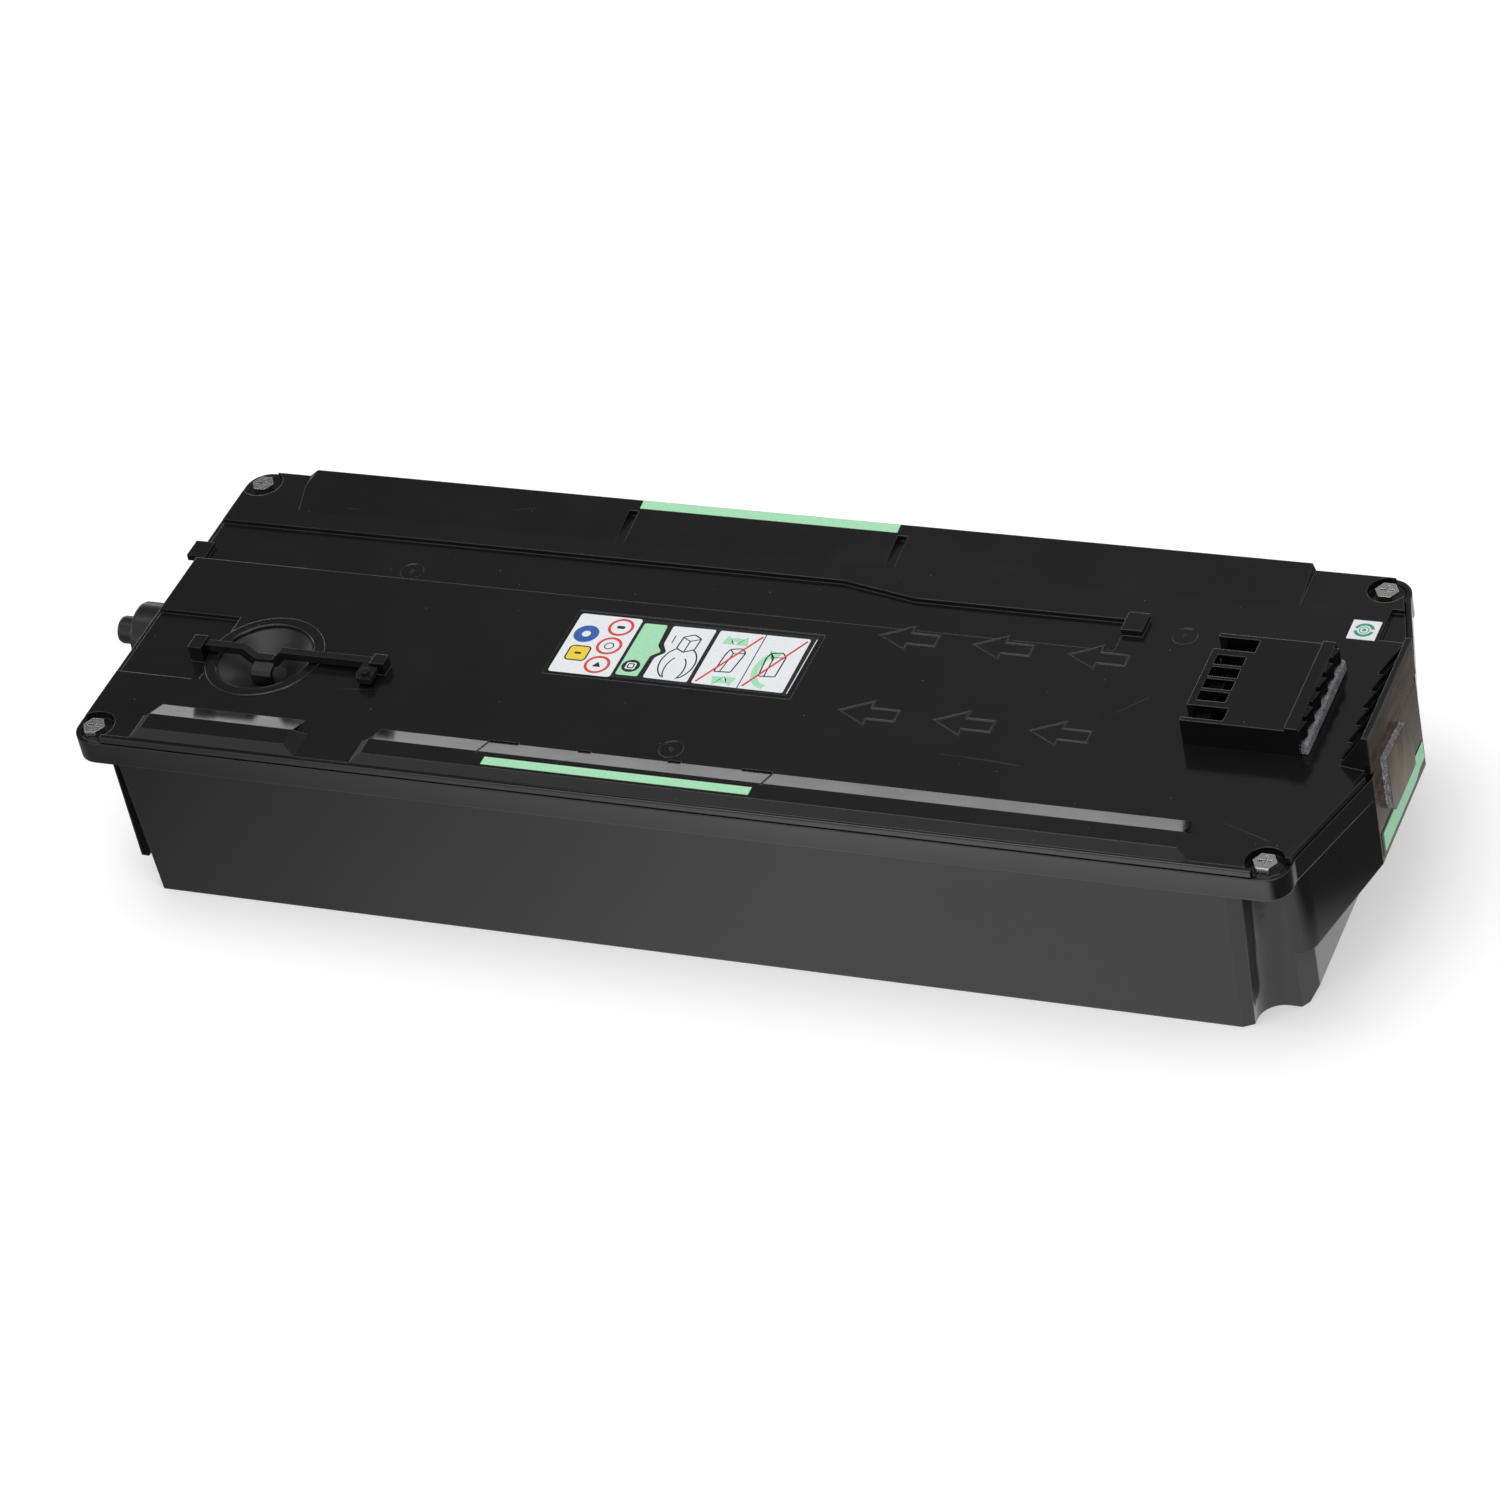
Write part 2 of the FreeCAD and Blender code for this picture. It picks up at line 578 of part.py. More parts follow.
    # The space for the toner: the drafted body, the leg and the nose open into each other.
    pan = sketch_on(body, "XY_Plane", D.tub_floor, "pan")
    polygon(pan, tub_outline(D.tub_draft, D.bevel_foot, D.tub_wall))
    mouth = sketch_on(body, "XY_Plane", shelf_top, "mouth")
    polygon(mouth, tub_outline(ZERO, D.bevel_long, D.tub_wall))
    loft(body, "SubtractiveLoft", pan, mouth)
    sump = sketch_on(body, "XY_Plane", shelf_top, "sump")
    reach = leg_east - D.tub_wall
    inner_half = leg_half - D.tub_wall
    polygon(sump, [
        (inland - D.tub_wall, -inner_half + D.cove),
        (D.tub_right + D.tub_wall, -inner_half + D.cove),
        (D.tub_right + D.cove * 0.75, -inner_half),
        (reach - D.leg_bevel, -inner_half),
        (reach, -inner_half + D.leg_bevel * 1.5),
        (reach, inner_half - D.leg_bevel * 1.5),
        (reach - D.leg_bevel, inner_half),
        (D.tub_right + D.cove * 0.75, inner_half),
        (D.tub_right + D.tub_wall, inner_half - D.cove),
        (inland - D.tub_wall, inner_half - D.cove),
    ])
    pocket(body, sump, shelf_top - D.leg_toe - D.tub_floor)
    gullet = sketch_on(body, "XY_Plane", shelf_top, "gullet")
    polygon(gullet, [
        (reach - D.tub_wall, -inner_half + D.shoulder_round),
        (nose - D.tub_wall, -D.nose_front + D.tub_wall / 2),
        (nose - D.tub_wall, D.nose_rear - D.tub_wall / 2),
        (reach - D.tub_wall, inner_half - D.shoulder_round),
    ])
    pocket(body, gullet, shelf_top - nose_low - D.nose_lift - D.tub_wall)

    # The post that carries the right end of the shaft.
    post_top = axle_z + bush_radius + D.tub_wall
    post = sketch_on(body, "YZ_Plane", D.post_place, "post")
    polygon(post, [
        (axle_y - D.post_half, D.tub_floor / 2),
        (axle_y + D.post_half, D.tub_floor / 2),
        (axle_y + D.post_half, axle_z),
        (axle_y + D.post_half * 0.6, post_top),
        (axle_y - D.post_half * 0.6, post_top),
        (axle_y - D.post_half, axle_z),
    ])
    pad(body, post, D.post_thick)
    bearing = sketch_on(body, "YZ_Plane", D.post_place, "bearing")
    circle(bearing, axle_y, axle_z, bush_radius + D.bush_play)
    pocket(body, bearing, D.post_thick, reverse=True)
    throat = sketch_on(body, "YZ_Plane", -D.tub_left - D.collar_long, "throat")
    circle(throat, axle_y, axle_z, bush_radius + D.bush_play)
    pocket(body, throat, D.collar_long + D.tub_wall * 2, reverse=True)
    bores = sketch_on(body, "XY_Plane", shelf_top, "bores")
    for x, y in SCREWS:
        circle(bores, x, y, D.screw_shank + D.screw_play)
    pocket(body, bores, shelf_top - boss_low)

    # The end wall rises above the rim to the seam with the cover.
    end_wall = sketch_on(body, "XY_Plane", rim_top - 1, "end_wall")
    rectangle(end_wall, nose - D.rim_wall, -D.nose_front + D.rim_wall, nose, D.nose_rear - D.rim_wall)
    pad(body, end_wall, cover_top - D.end_lip - D.end_seam - rim_top + 1)

    # A small lug hangs from the flange at the left end.
    lug = sketch_on(body, "XY_Plane", shelf_low - D.hanger_lug, "lug")
    rectangle(lug, -D.hanger_left - D.hanger_block, -D.hanger_front + D.hanger_wide / 2, -D.hanger_left,
              -D.hanger_front + D.hanger_wide)
    pad(body, lug, D.hanger_lug + 1)
    return body


# The tongue hangs from the flange beside that lug.
def make_hanging_tongue():
    body = new_body("hanging_tongue")
    tongue = sketch_on(body, "YZ_Plane", -D.hanger_left, "tongue")
    polygon(tongue, [
        (-D.hanger_front, D.hanger_low + D.hanger_wide / 3),
        (-D.hanger_front + D.hanger_wide / 3, D.hanger_low),
        (-D.hanger_front + D.hanger_wide, D.hanger_low),
        (-D.hanger_front + D.hanger_wide, shelf_low),
        (-D.hanger_front + D.hanger_wide * 0.55, shelf_low),
        (-D.hanger_front + D.hanger_wide * 0.55, skirt_low - 0.5),
        (-D.hanger_front, skirt_low - 0.5),
    ])
    pad(body, tongue, D.hanger_thick)
    return body


# The gasket lies on the shelf, all the way round.
def make_cover_gasket():
    body = new_body("cover_gasket")
    outer = D.rim_wall + D.cover_gap
    ring = sketch_on(body, "XY_Plane", shelf_top, "ring")
    polygon(ring, rim_outline(outer))
    polygon(ring, rim_outline(outer + D.gasket_wide))
    pad(body, ring, D.gasket_thick)
    places = rim_corners(outer)
    round_uprights(body, "ring_round", places, shelf_top, cover_low, D.rim_corner - outer)
    return body


# The cover: a shallow lid with ridges, a ramp, a channel, a dish seat and the end wall with its gussets.
def make_top_cover():
    body = new_body("top_cover")
    plate = sketch_on(body, "XY_Plane", cover_low, "plate")
    polygon(plate, rim_outline(cover_side, D.cover_inset))
    pad(body, plate, cover_top - cover_low)
    corner = D.rim_corner - cover_side - D.cover_inset
    places = rim_corners(cover_side, D.cover_inset)
    round_uprights(body, "plate_round", places, cover_low, cover_top, corner)

    # Underneath it is hollow, apart from its edge and the corners under the screws.
    under = sketch_on(body, "XY_Plane", cover_low, "under")
    edge = cover_side + D.cover_land
    nook = D.rim_end + D.screw_seat + D.tub_wall
    nook_y = D.rim_rear + D.screw_seat + D.tub_wall
    polygon(under, [
        (left + edge, front + nook_y),
        (left + nook, front + nook_y),
        (left + nook, front + edge + D.cover_inset),
        (right - nook, front + edge + D.cover_inset),
        (right - nook, front + nook_y),
        (right - edge, front + nook_y),
        (right - edge, rear - nook_y),
        (right - nook, rear - nook_y),
        (right - nook, rear - edge - D.cover_inset),
        (left + nook, rear - edge - D.cover_inset),
        (left + nook, rear - nook_y),
        (left + edge, rear - nook_y),
    ])
    pocket(body, under, cover_under - cover_low, reverse=True)

    # The wall stays as thick where the top is sunk.
    backs = sketch_on(body, "XY_Plane", cover_under, "backs")
    rectangle(backs, left + edge - 1, -D.pocket_front - D.cover_thick,
              -D.pocket_right + D.cover_thick, -D.pocket_rear + D.cover_thick)
    pad(body, backs, D.pocket_deep, reverse=True)
    rail = sketch_on(body, "XY_Plane", cover_under, "rail")
    rectangle(rail, left + edge - 1, D.channel_front - D.cover_thick, D.channel_end + D.stop_long,
              D.channel_rear + D.cover_thick)
    pad(body, rail, D.channel_deep, reverse=True)
    seat = sketch_on(body, "XY_Plane", cover_under, "seat")
    circle(seat, dish_x, dish_y, D.dish_ring + D.cover_thick)
    pad(body, seat, D.pocket_deep, reverse=True)

    # The two ridges along the front: a slope behind, and a block with hipped ends in front.
    for name, west, east in (("short", -D.short_ridge_left, -D.short_ridge_right),
                             ("long", -D.long_ridge_left, D.long_ridge_right)):
        slope = sketch_on(body, "YZ_Plane", west + D.ridge_hip, f"{name}_slope")
        polygon(slope, [
            (-D.ridge_crest, cover_top + D.ridge_high),
            (-D.ridge_crest, cover_top - 0.5),
            (-D.ridge_rear, cover_top - 0.5),
            (-D.ridge_rear, cover_top),
        ])
        pad(body, slope, east - west - D.ridge_hip * 2)
        base = sketch_on(body, "XY_Plane", cover_top, f"{name}_base")
        rectangle(base, west, cover_front, east, -D.ridge_crest + D.ridge_hip / 2)
        crown = sketch_on(body, "XY_Plane", cover_top + D.ridge_high, f"{name}_crown")
        rectangle(crown, west + D.ridge_hip, cover_front + D.ridge_face, east - D.ridge_hip, -D.ridge_crest)
        loft(body, "AdditiveLoft", base, crown)

    # The split lines at the ends of the grip, and the hooks along the foot of its slope.
    splits = sketch_on(body, "XY_Plane", cover_top + D.ridge_high, "splits")
    for x in (-D.grip_left - D.split_wide, D.grip_right):
        rectangle(splits, x, -D.ridge_crest - D.split_wide, x + D.split_wide, -D.ridge_rear)
    pocket(body, splits, D.ridge_high + D.split_wide)
    hooks = sketch_on(body, "XY_Plane", cover_top + D.ridge_high, "hooks")
    for index in range(4):
        long = D.hook_long if index in (1, 2) else D.hook_end
        x = -D.grip_left + (D.grip_left + D.grip_right - long) / 3 * index
        rectangle(hooks, x, -D.ridge_rear - D.hook_wide / 2, x + long, -D.ridge_rear + D.hook_wide / 2)
    pocket(body, hooks, D.ridge_high + D.split_wide * 1.6)

    # The ramp along the rear, with a sloped and a steep end, and two notches beside the green strip.
    ramp = sketch_on(body, "YZ_Plane", -D.ramp_left, "ramp")
    polygon(ramp, [
        (D.ramp_front, cover_top),
        (D.ramp_front, cover_top - 0.5),
        (cover_rear, cover_top - 0.5),
        (cover_rear, cover_top + D.ramp_high),
    ])
    pad(body, ramp, D.ramp_left + D.ramp_right)
    hips = sketch_on(body, "XZ_Plane", D.ramp_front - 1, "hips")
    for side, west, hip in ((1, -D.ramp_left, D.ramp_hip), (-1, D.ramp_right, D.ramp_step)):
        polygon(hips, [
            (west - 1 * side, cover_top),
            (west, cover_top),
            (west + hip * side, cover_top + D.ramp_high),
            (west + hip * side, cover_top + D.ramp_high + 1),
            (west - 1 * side, cover_top + D.ramp_high + 1),
        ])
    pocket(body, hips, rear - D.ramp_front + 2)
    bank = sketch_on(body, "XY_Plane", cover_top + D.ramp_high + 1, "bank")
    polygon(bank, [
        (-D.ramp_left - 1, D.ramp_front - 1),
        (-D.ramp_left + D.ramp_bank, D.ramp_front - 1),
        (-D.ramp_left, rear),
        (-D.ramp_left - 1, rear),
    ])
    pocket(body, bank, D.ramp_high + 1)
    notches = sketch_on(body, "XY_Plane", cover_top + D.ramp_high + 1, "notches")
    for x in (-D.rear_strip_left - D.ramp_groove, D.rear_strip_right + 0.6):
        rectangle(notches, x, D.ramp_front - 1, x + D.ramp_groove, D.ramp_groove_rear)
    pocket(body, notches, D.ramp_high + 1)

    # The channel, the pocket at the left, the low corner and the recesses round the screws.
    channel = sketch_on(body, "XY_Plane", cover_top, "channel")
    polygon(channel, [
        (left, D.channel_front),
        (D.channel_end, D.channel_front),
        (D.channel_end, D.channel_rear - D.channel_pinch),
        (D.channel_bent, D.channel_rear - D.channel_pinch),
        (D.channel_bend, D.channel_rear),
        (left, D.channel_rear),
    ])
    pocket(body, channel, D.channel_deep)
    stop = sketch_on(body, "XY_Plane", cover_top - D.channel_deep, "stop")
    rectangle(stop, D.channel_end, D.channel_rear - D.channel_pinch - D.stop_deep + 1,
              D.channel_end + D.stop_long, D.channel_rear - D.channel_pinch + 1)
    pad(body, stop, D.channel_deep + D.stop_high)
    sink = sketch_on(body, "XY_Plane", cover_top, "sink")
    rectangle(sink, left, -D.pocket_front, -D.pocket_right, -D.pocket_rear)
    pocket(body, sink, D.pocket_deep)
    low_corner = sketch_on(body, "XY_Plane", cover_top, "low_corner")
    rectangle(low_corner, D.step_left, D.step_front, nose, D.step_rear)
    pocket(body, low_corner, D.step_deep)
    seats = sketch_on(body, "XY_Plane", cover_top, "seats")
    for x, y in SCREWS[:2]:
        circle(seats, x, y, D.screw_seat)
    for x, y in SCREWS[2:]:
        circle(seats, x, y, D.screw_seat_right)
    pocket(body, seats, D.screw_seat_deep)
    clearance = sketch_on(body, "XY_Plane", cover_top, "clearance")
    for x, y in SCREWS:
        circle(clearance, x, y, D.screw_shank + D.screw_play * 4)
    pocket(body, clearance, cover_top - cover_low)

    # The seat of the diaphragm and the brackets of the lever.
    dish_seat = sketch_on(body, "XY_Plane", cover_top, "dish_seat")
    circle(dish_seat, dish_x, dish_y, D.dish_ring + D.dish_play)
    pocket(body, dish_seat, D.pocket_deep)
    dish_hole = sketch_on(body, "XY_Plane", cover_top, "dish_hole")
    circle(dish_hole, dish_x, dish_y, D.dish_hole)
    pocket(body, dish_hole, cover_top - cover_low)
    brackets = sketch_on(body, "XY_Plane", cover_top - D.pocket_deep, "brackets")
    rectangle(brackets, -D.left_bracket, lever_y - D.bracket_front,
              -D.left_bracket + D.bracket_long, lever_y + D.bracket_half)
    rectangle(brackets, -D.right_bracket - D.bracket_long, lever_y - D.bracket_half,
              -D.right_bracket, lever_y + D.bracket_half)
    pad(body, brackets, D.pocket_deep + D.lever_axis + D.bracket_over)
    eyes = sketch_on(body, "YZ_Plane", -D.left_bracket + D.bracket_long - D.lever_pin_long - 0.4, "eyes")
    circle(eyes, lever_y, lever_z, D.lever_pin + D.running_gap)
    pocket(body, eyes, D.left_bracket - D.right_bracket - D.bracket_long * 2 + D.lever_pin_long * 2 + 0.8,
           reverse=True)

    # The end wall, its lip and its gussets.
    lip = sketch_on(body, "XY_Plane", cover_top - D.end_lip, "lip")
    rectangle(lip, nose - D.end_wall_thick * 3, -D.nose_front + D.rim_wall, nose,
              D.nose_rear - D.rim_wall)
    pad(body, lip, D.end_lip)
    end_wall = sketch_on(body, "XY_Plane", cover_top - D.end_lip / 2, "end_wall")
    rectangle(end_wall, nose - D.end_wall_thick, -D.nose_front, nose, D.nose_rear + 1)
    pad(body, end_wall, D.end_wall_high + D.end_lip / 2)
    for index in range(int(D.gusset_count.value)):
        y = D.nose_rear - D.gusset_thick - D.gusset_pitch * index
        gusset = sketch_on(body, "XZ_Plane", y, f"gusset_{index}")
        polygon(gusset, [
            (nose - D.end_wall_thick / 2, cover_top - D.end_lip / 2),
            (nose - D.end_wall_thick / 2, cover_top + D.end_wall_high),
            (nose - D.end_wall_thick, cover_top + D.end_wall_high),
            (nose - D.end_wall_thick - D.gusset_long, cover_top),
            (nose - D.end_wall_thick - D.gusset_long, cover_top - D.end_lip / 2),
        ])
        pad(body, gusset, D.gusset_thick)
    corner_gusset = sketch_on(body, "XY_Plane", cover_top - D.end_lip / 2, "corner_foot")
    polygon(corner_gusset, [
        (nose - D.end_wall_thick - D.gusset_long, -D.nose_front + 1.6),
        (nose - D.end_wall_thick / 2, -D.nose_front),
        (nose - D.end_wall_thick / 2, -D.nose_front + D.gusset_pitch),
    ])
    corner_top = sketch_on(body, "XY_Plane", cover_top + D.end_wall_high, "corner_top")
    polygon(corner_top, [
        (nose - D.end_wall_thick - 0.3, -D.nose_front + 0.2),
        (nose - D.end_wall_thick / 2, -D.nose_front),
        (nose - D.end_wall_thick / 2, -D.nose_front + 0.8),
    ])
    loft(body, "AdditiveLoft", corner_gusset, corner_top)

    # The port under the hood, the label's recess, the arrows and the moulding marks.
    port = sketch_on(body, "XY_Plane", cover_top, "port")
    rectangle(port, D.hood_left + D.port_inset, -D.hood_front + D.port_inset,
              D.hood_right - D.port_inset, D.hood_rear - D.port_inset)
    pocket(body, port, cover_top - cover_low)
    recess = sketch_on(body, "XY_Plane", cover_top, "recess")
    rectangle(recess, -D.label_left - D.label_margin, -D.label_half - D.label_margin,
              D.label_right + D.label_margin, D.label_half + D.label_margin)
    pocket(body, recess, D.label_recess)
    arrows = sketch_on(body, "XY_Plane", cover_top, "arrows")
    for row in (-1, 1):
        for index in range(3):
            tip = D.arrow_tip + D.arrow_pitch * index
            for line in (ZERO, D.arrow_line):
                polygon(arrows, arrow_outline(tip, D.arrow_row * row, line))
    pad(body, arrows, D.arrow_raise)
    places = ((-127.0, 29.4, cover_top - D.channel_deep), (-1.8, -45.9, cover_top), (143.3, 33.7, cover_top))
    for number, (x, y, level) in enumerate(places):
        mark = sketch_on(body, "XY_Plane", level, f"mark_{number}")
        circle(mark, x, y, D.gate_mark)
        pocket(body, mark, D.gate_deep)
        pip = sketch_on(body, "XY_Plane", level - D.gate_deep * 2, f"pip_{number}")
        circle(pip, x, y, D.gate_pip)
        pad(body, pip, D.gate_deep * 2.6)

    # The tab on the left edge.
    tab = sketch_on(body, "XY_Plane", cover_low, "tab")
    tab_low = D.tab_middle - D.tab_wide / 2
    rectangle(tab, cover_left, tab_low, cover_left + 3, tab_low + D.tab_wide)
    pad(body, tab, cover_top - cover_low)
    ear = sketch_on(body, "XY_Plane", rim_top + 0.3, "ear")
    rectangle(ear, cover_left - D.tab_reach, tab_low, cover_left + 3, tab_low + D.tab_wide)
    pad(body, ear, cover_top - rim_top - 0.3)
    return body


def arrow_outline(tip, y, line):
    half = D.arrow_wide / 2 - line * 1.9
    shaft = D.arrow_shaft / 2 - line
    neck = tip + D.arrow_head - line
    end = tip + D.arrow_long - line
    point = tip + line * 2
    return [
        (point, y),
        (neck, y - half),
        (neck, y - shaft),
        (end, y - shaft),
        (end, y + shaft),
        (neck, y + shaft),
        (neck, y + half),
    ]


# Each screw: a hexagon head with a cross recess, and a plain shank; the fine thread is left out.
def make_cover_screws():
    screws = []
    seat_z = cover_top - D.screw_seat_deep
    for number, (x, y) in enumerate(SCREWS, start=1):
        head = doc.addObject("Part::Prism", f"screw_{number}_head")
        head.Polygon = 6
        head.setExpression("Circumradius", (D.screw_across / 2).text)
        head.setExpression("Height", D.screw_head.text)
        place(head, x, y, seat_z)
        shank = doc.addObject("Part::Cylinder", f"screw_{number}_shank")
        shank.setExpression("Radius", D.screw_shank.text)
        shank.setExpression("Height", (D.screw_long + D.screw_head / 2).text)
        place(shank, x, y, seat_z - D.screw_long)
        whole = doc.addObject("Part::Fuse", f"screw_{number}_blank")
        whole.Base = head
        whole.Tool = shank
        for turn in range(2):
            slot = doc.addObject("Part::Box", f"screw_{number}_slot_{turn}")
            long, wide = (D.driver_slot, D.driver_wide) if turn else (D.driver_wide, D.driver_slot)
            slot.setExpression("Length", long.text)
            slot.setExpression("Width", wide.text)
            slot.setExpression("Height", (D.driver_deep * 2).text)
            place(slot, x - long / 2, y - wide / 2, seat_z + D.screw_head - D.driver_deep)
            cut = doc.addObject("Part::Cut", f"screw_{number}_cut_{turn}")
            cut.Base = whole
            cut.Tool = slot
            whole = cut
        screws.append(whole)
    group = doc.addObject("Part::Compound", "cover_screws")
    group.Links = screws
    group.Label = "cover_screws"
    return group


def place(item, x, y, z):
    for axis, distance in (("x", x), ("y", y), ("z", z)):
        item.setExpression(f"Placement.Base.{axis}", size(distance).text)


# Round pieces on the shaft's axis are turned profiles: distance along the axis against radius.
def turned(name, profile):
    body = new_body(name)
    sketch = sketch_on(body, "XZ_Plane", ZERO, "profile")
    polygon(sketch, [(radius, along) for along, radius in profile])
    revolve(body, sketch)
    body.Placement = Placement(Vector(0, axle_y.value, axle_z.value), Rotation(Vector(0, 1, 0), 90))
    for axis, distance in (("y", axle_y), ("z", axle_z)):
        body.setExpression(f"Placement.Base.{axis}", distance.text)
    return body


def make_shaft_bush():
    start = -D.tub_left - D.collar_long
    bore = D.axle + D.running_gap
    flange = bush_radius + D.bush_flange
    return turned("shaft_bush", [
        (start - D.bush_flange, bore),
        (start + D.bush_long, bore),
        (start + D.bush_long, bush_radius),
        (start, bush_radius),
        (start, flange),
        (start - D.bush_flange, flange),
    ])


def make_shaft_seal():
    start = -D.tub_left - D.collar_long + D.bush_long
    bore = D.axle + D.running_gap
    groove = D.bush_wall / 3
    return turned("shaft_seal", [
        (start, bore),
        (start + D.seal_long, bore),
        (start + D.seal_long, bore + groove),
        (start + D.seal_long / 2, bore + groove * 1.6),
        (start + D.seal_long, bore + groove * 2.2),
        (start + D.seal_long, bush_radius),
        (start, bush_radius),
    ])


def make_end_bush():
    start = D.post_place
    bore = D.axle + D.running_gap
    flange = bush_radius + D.bush_flange
    return turned("end_bush", [
        (start - D.bush_flange, bore),
        (start + D.post_thick, bore),
        (start + D.post_thick, bush_radius),
        (start, bush_radius),
        (start, flange),
        (start - D.bush_flange, flange),
    ])


coupling_right = left - D.coupling_gap
coupling_left = coupling_right - D.coupling_disc_long


def make_drive_coupling():
    tip = coupling_left - D.coupling_knob_long
    bite = coupling_right - D.coupling_bite
    rounding = D.coupling_round
    return turned("drive_coupling", [
        (tip, ZERO),
        (tip, D.coupling_knob - rounding),
        (tip + rounding * 0.3, D.coupling_knob - rounding * 0.3),
        (tip + rounding, D.coupling_knob),
        (coupling_left, D.coupling_knob),
        (coupling_left, D.coupling_disc - rounding),
        (coupling_left + rounding * 0.3, D.coupling_disc - rounding * 0.3),
        (coupling_left + rounding, D.coupling_disc),
        (coupling_right, D.coupling_disc),
        (coupling_right, D.axle),
        (bite, D.axle),
        (bite, ZERO),
    ])


# The auger: a shaft with pairs of leaning half blades, as it comes out of a two-part mould.
def make_auger():
    start = coupling_right.value - D.coupling_bite.value
    end = D.post_place.value + D.post_thick.value
    shape = Part.makeCylinder(D.axle.value, end - start, Vector(start, 0, 0), Vector(1, 0, 0))
    radius = D.flight.value
    blades = []
    for index in range(int(D.flight_count.value)):
        middle = -D.flight_start.value + index * D.flight_pitch.value
        for side in (-1, 1):
            lean = D.flight_tilt.value * side
            step = D.flight_pitch.value / 2 if side > 0 else 0.0
            disc = Part.makeCylinder(radius * 1.4, D.flight_thick.value,
                                     Vector(0, 0, -D.flight_thick.value / 2))
            disc.Placement = Placement(Vector(middle + step, 0, 0), Rotation(Vector(0, 1, 0), 90 + lean))
            reach = radius * 1.6
            half = Part.makeBox(reach * 2, reach, reach * 2,
                                Vector(middle + step - reach, 0 if side > 0 else -reach, -reach))
            tube = Part.makeCylinder(radius, reach * 2, Vector(middle + step - reach, 0, 0), Vector(1, 0, 0))
            blades.append(disc.common(half).common(tube))
    left_collar = -(D.tub_left + D.collar_long - D.bush_long - D.seal_long - D.thrust_gap)
    right_collar = D.post_place - D.bush_flange - D.thrust_gap - D.thrust_long
    for place_x in (left_collar, right_collar):
        blades.append(Part.makeCylinder(D.thrust_collar.value, D.thrust_long.value,
                                        Vector(place_x.value, 0, 0), Vector(1, 0, 0)))
    shape = shape.fuse(blades).removeSplitter()
    auger = doc.addObject("Part::Feature", "auger_shaft")
    auger.Shape = shape
    auger.Placement = Placement(Vector(0, axle_y.value, axle_z.value), Rotation())
    auger.Label = "auger_shaft"
    return auger


# The rubber diaphragm and the ring that clamps it.
dish_seat_z = cover_top - D.pocket_deep


def dish_piece(name, profile):
    body = new_body(name)
    sketch = sketch_on(body, "XZ_Plane", ZERO, "profile")
    polygon(sketch, profile)
    revolve(body, sketch)
    place(body, dish_x, dish_y, ZERO)
    return body


def make_diaphragm():
    top = dish_seat_z + D.rubber_thick
    flat = top - D.dish_deep
    rim = D.dish_hole - D.cover_gap
    return dish_piece("diaphragm", [
        (ZERO, flat - D.rubber_thick),
        (D.dish_flat, flat - D.rubber_thick),
        (rim, dish_seat_z - 0.6),
        (rim, dish_seat_z),
        (D.dish_ring, dish_seat_z),
        (D.dish_ring, top),
        (rim - D.rubber_thick, top),
        (D.dish_flat - D.rubber_thick / 2, flat),
        (ZERO, flat),
    ])


def make_diaphragm_ring():
    low = dish_seat_z + D.rubber_thick
    high = cover_top + D.ring_proud
    return dish_piece("diaphragm_ring", [
        (D.dish_hole - 0.4, low),
        (D.dish_ring, low),
        (D.dish_ring, high - 0.3),
        (D.dish_ring - 0.3, high),
        (D.dish_hole, high),
        (D.dish_hole - 0.4, high - 0.4),
    ])


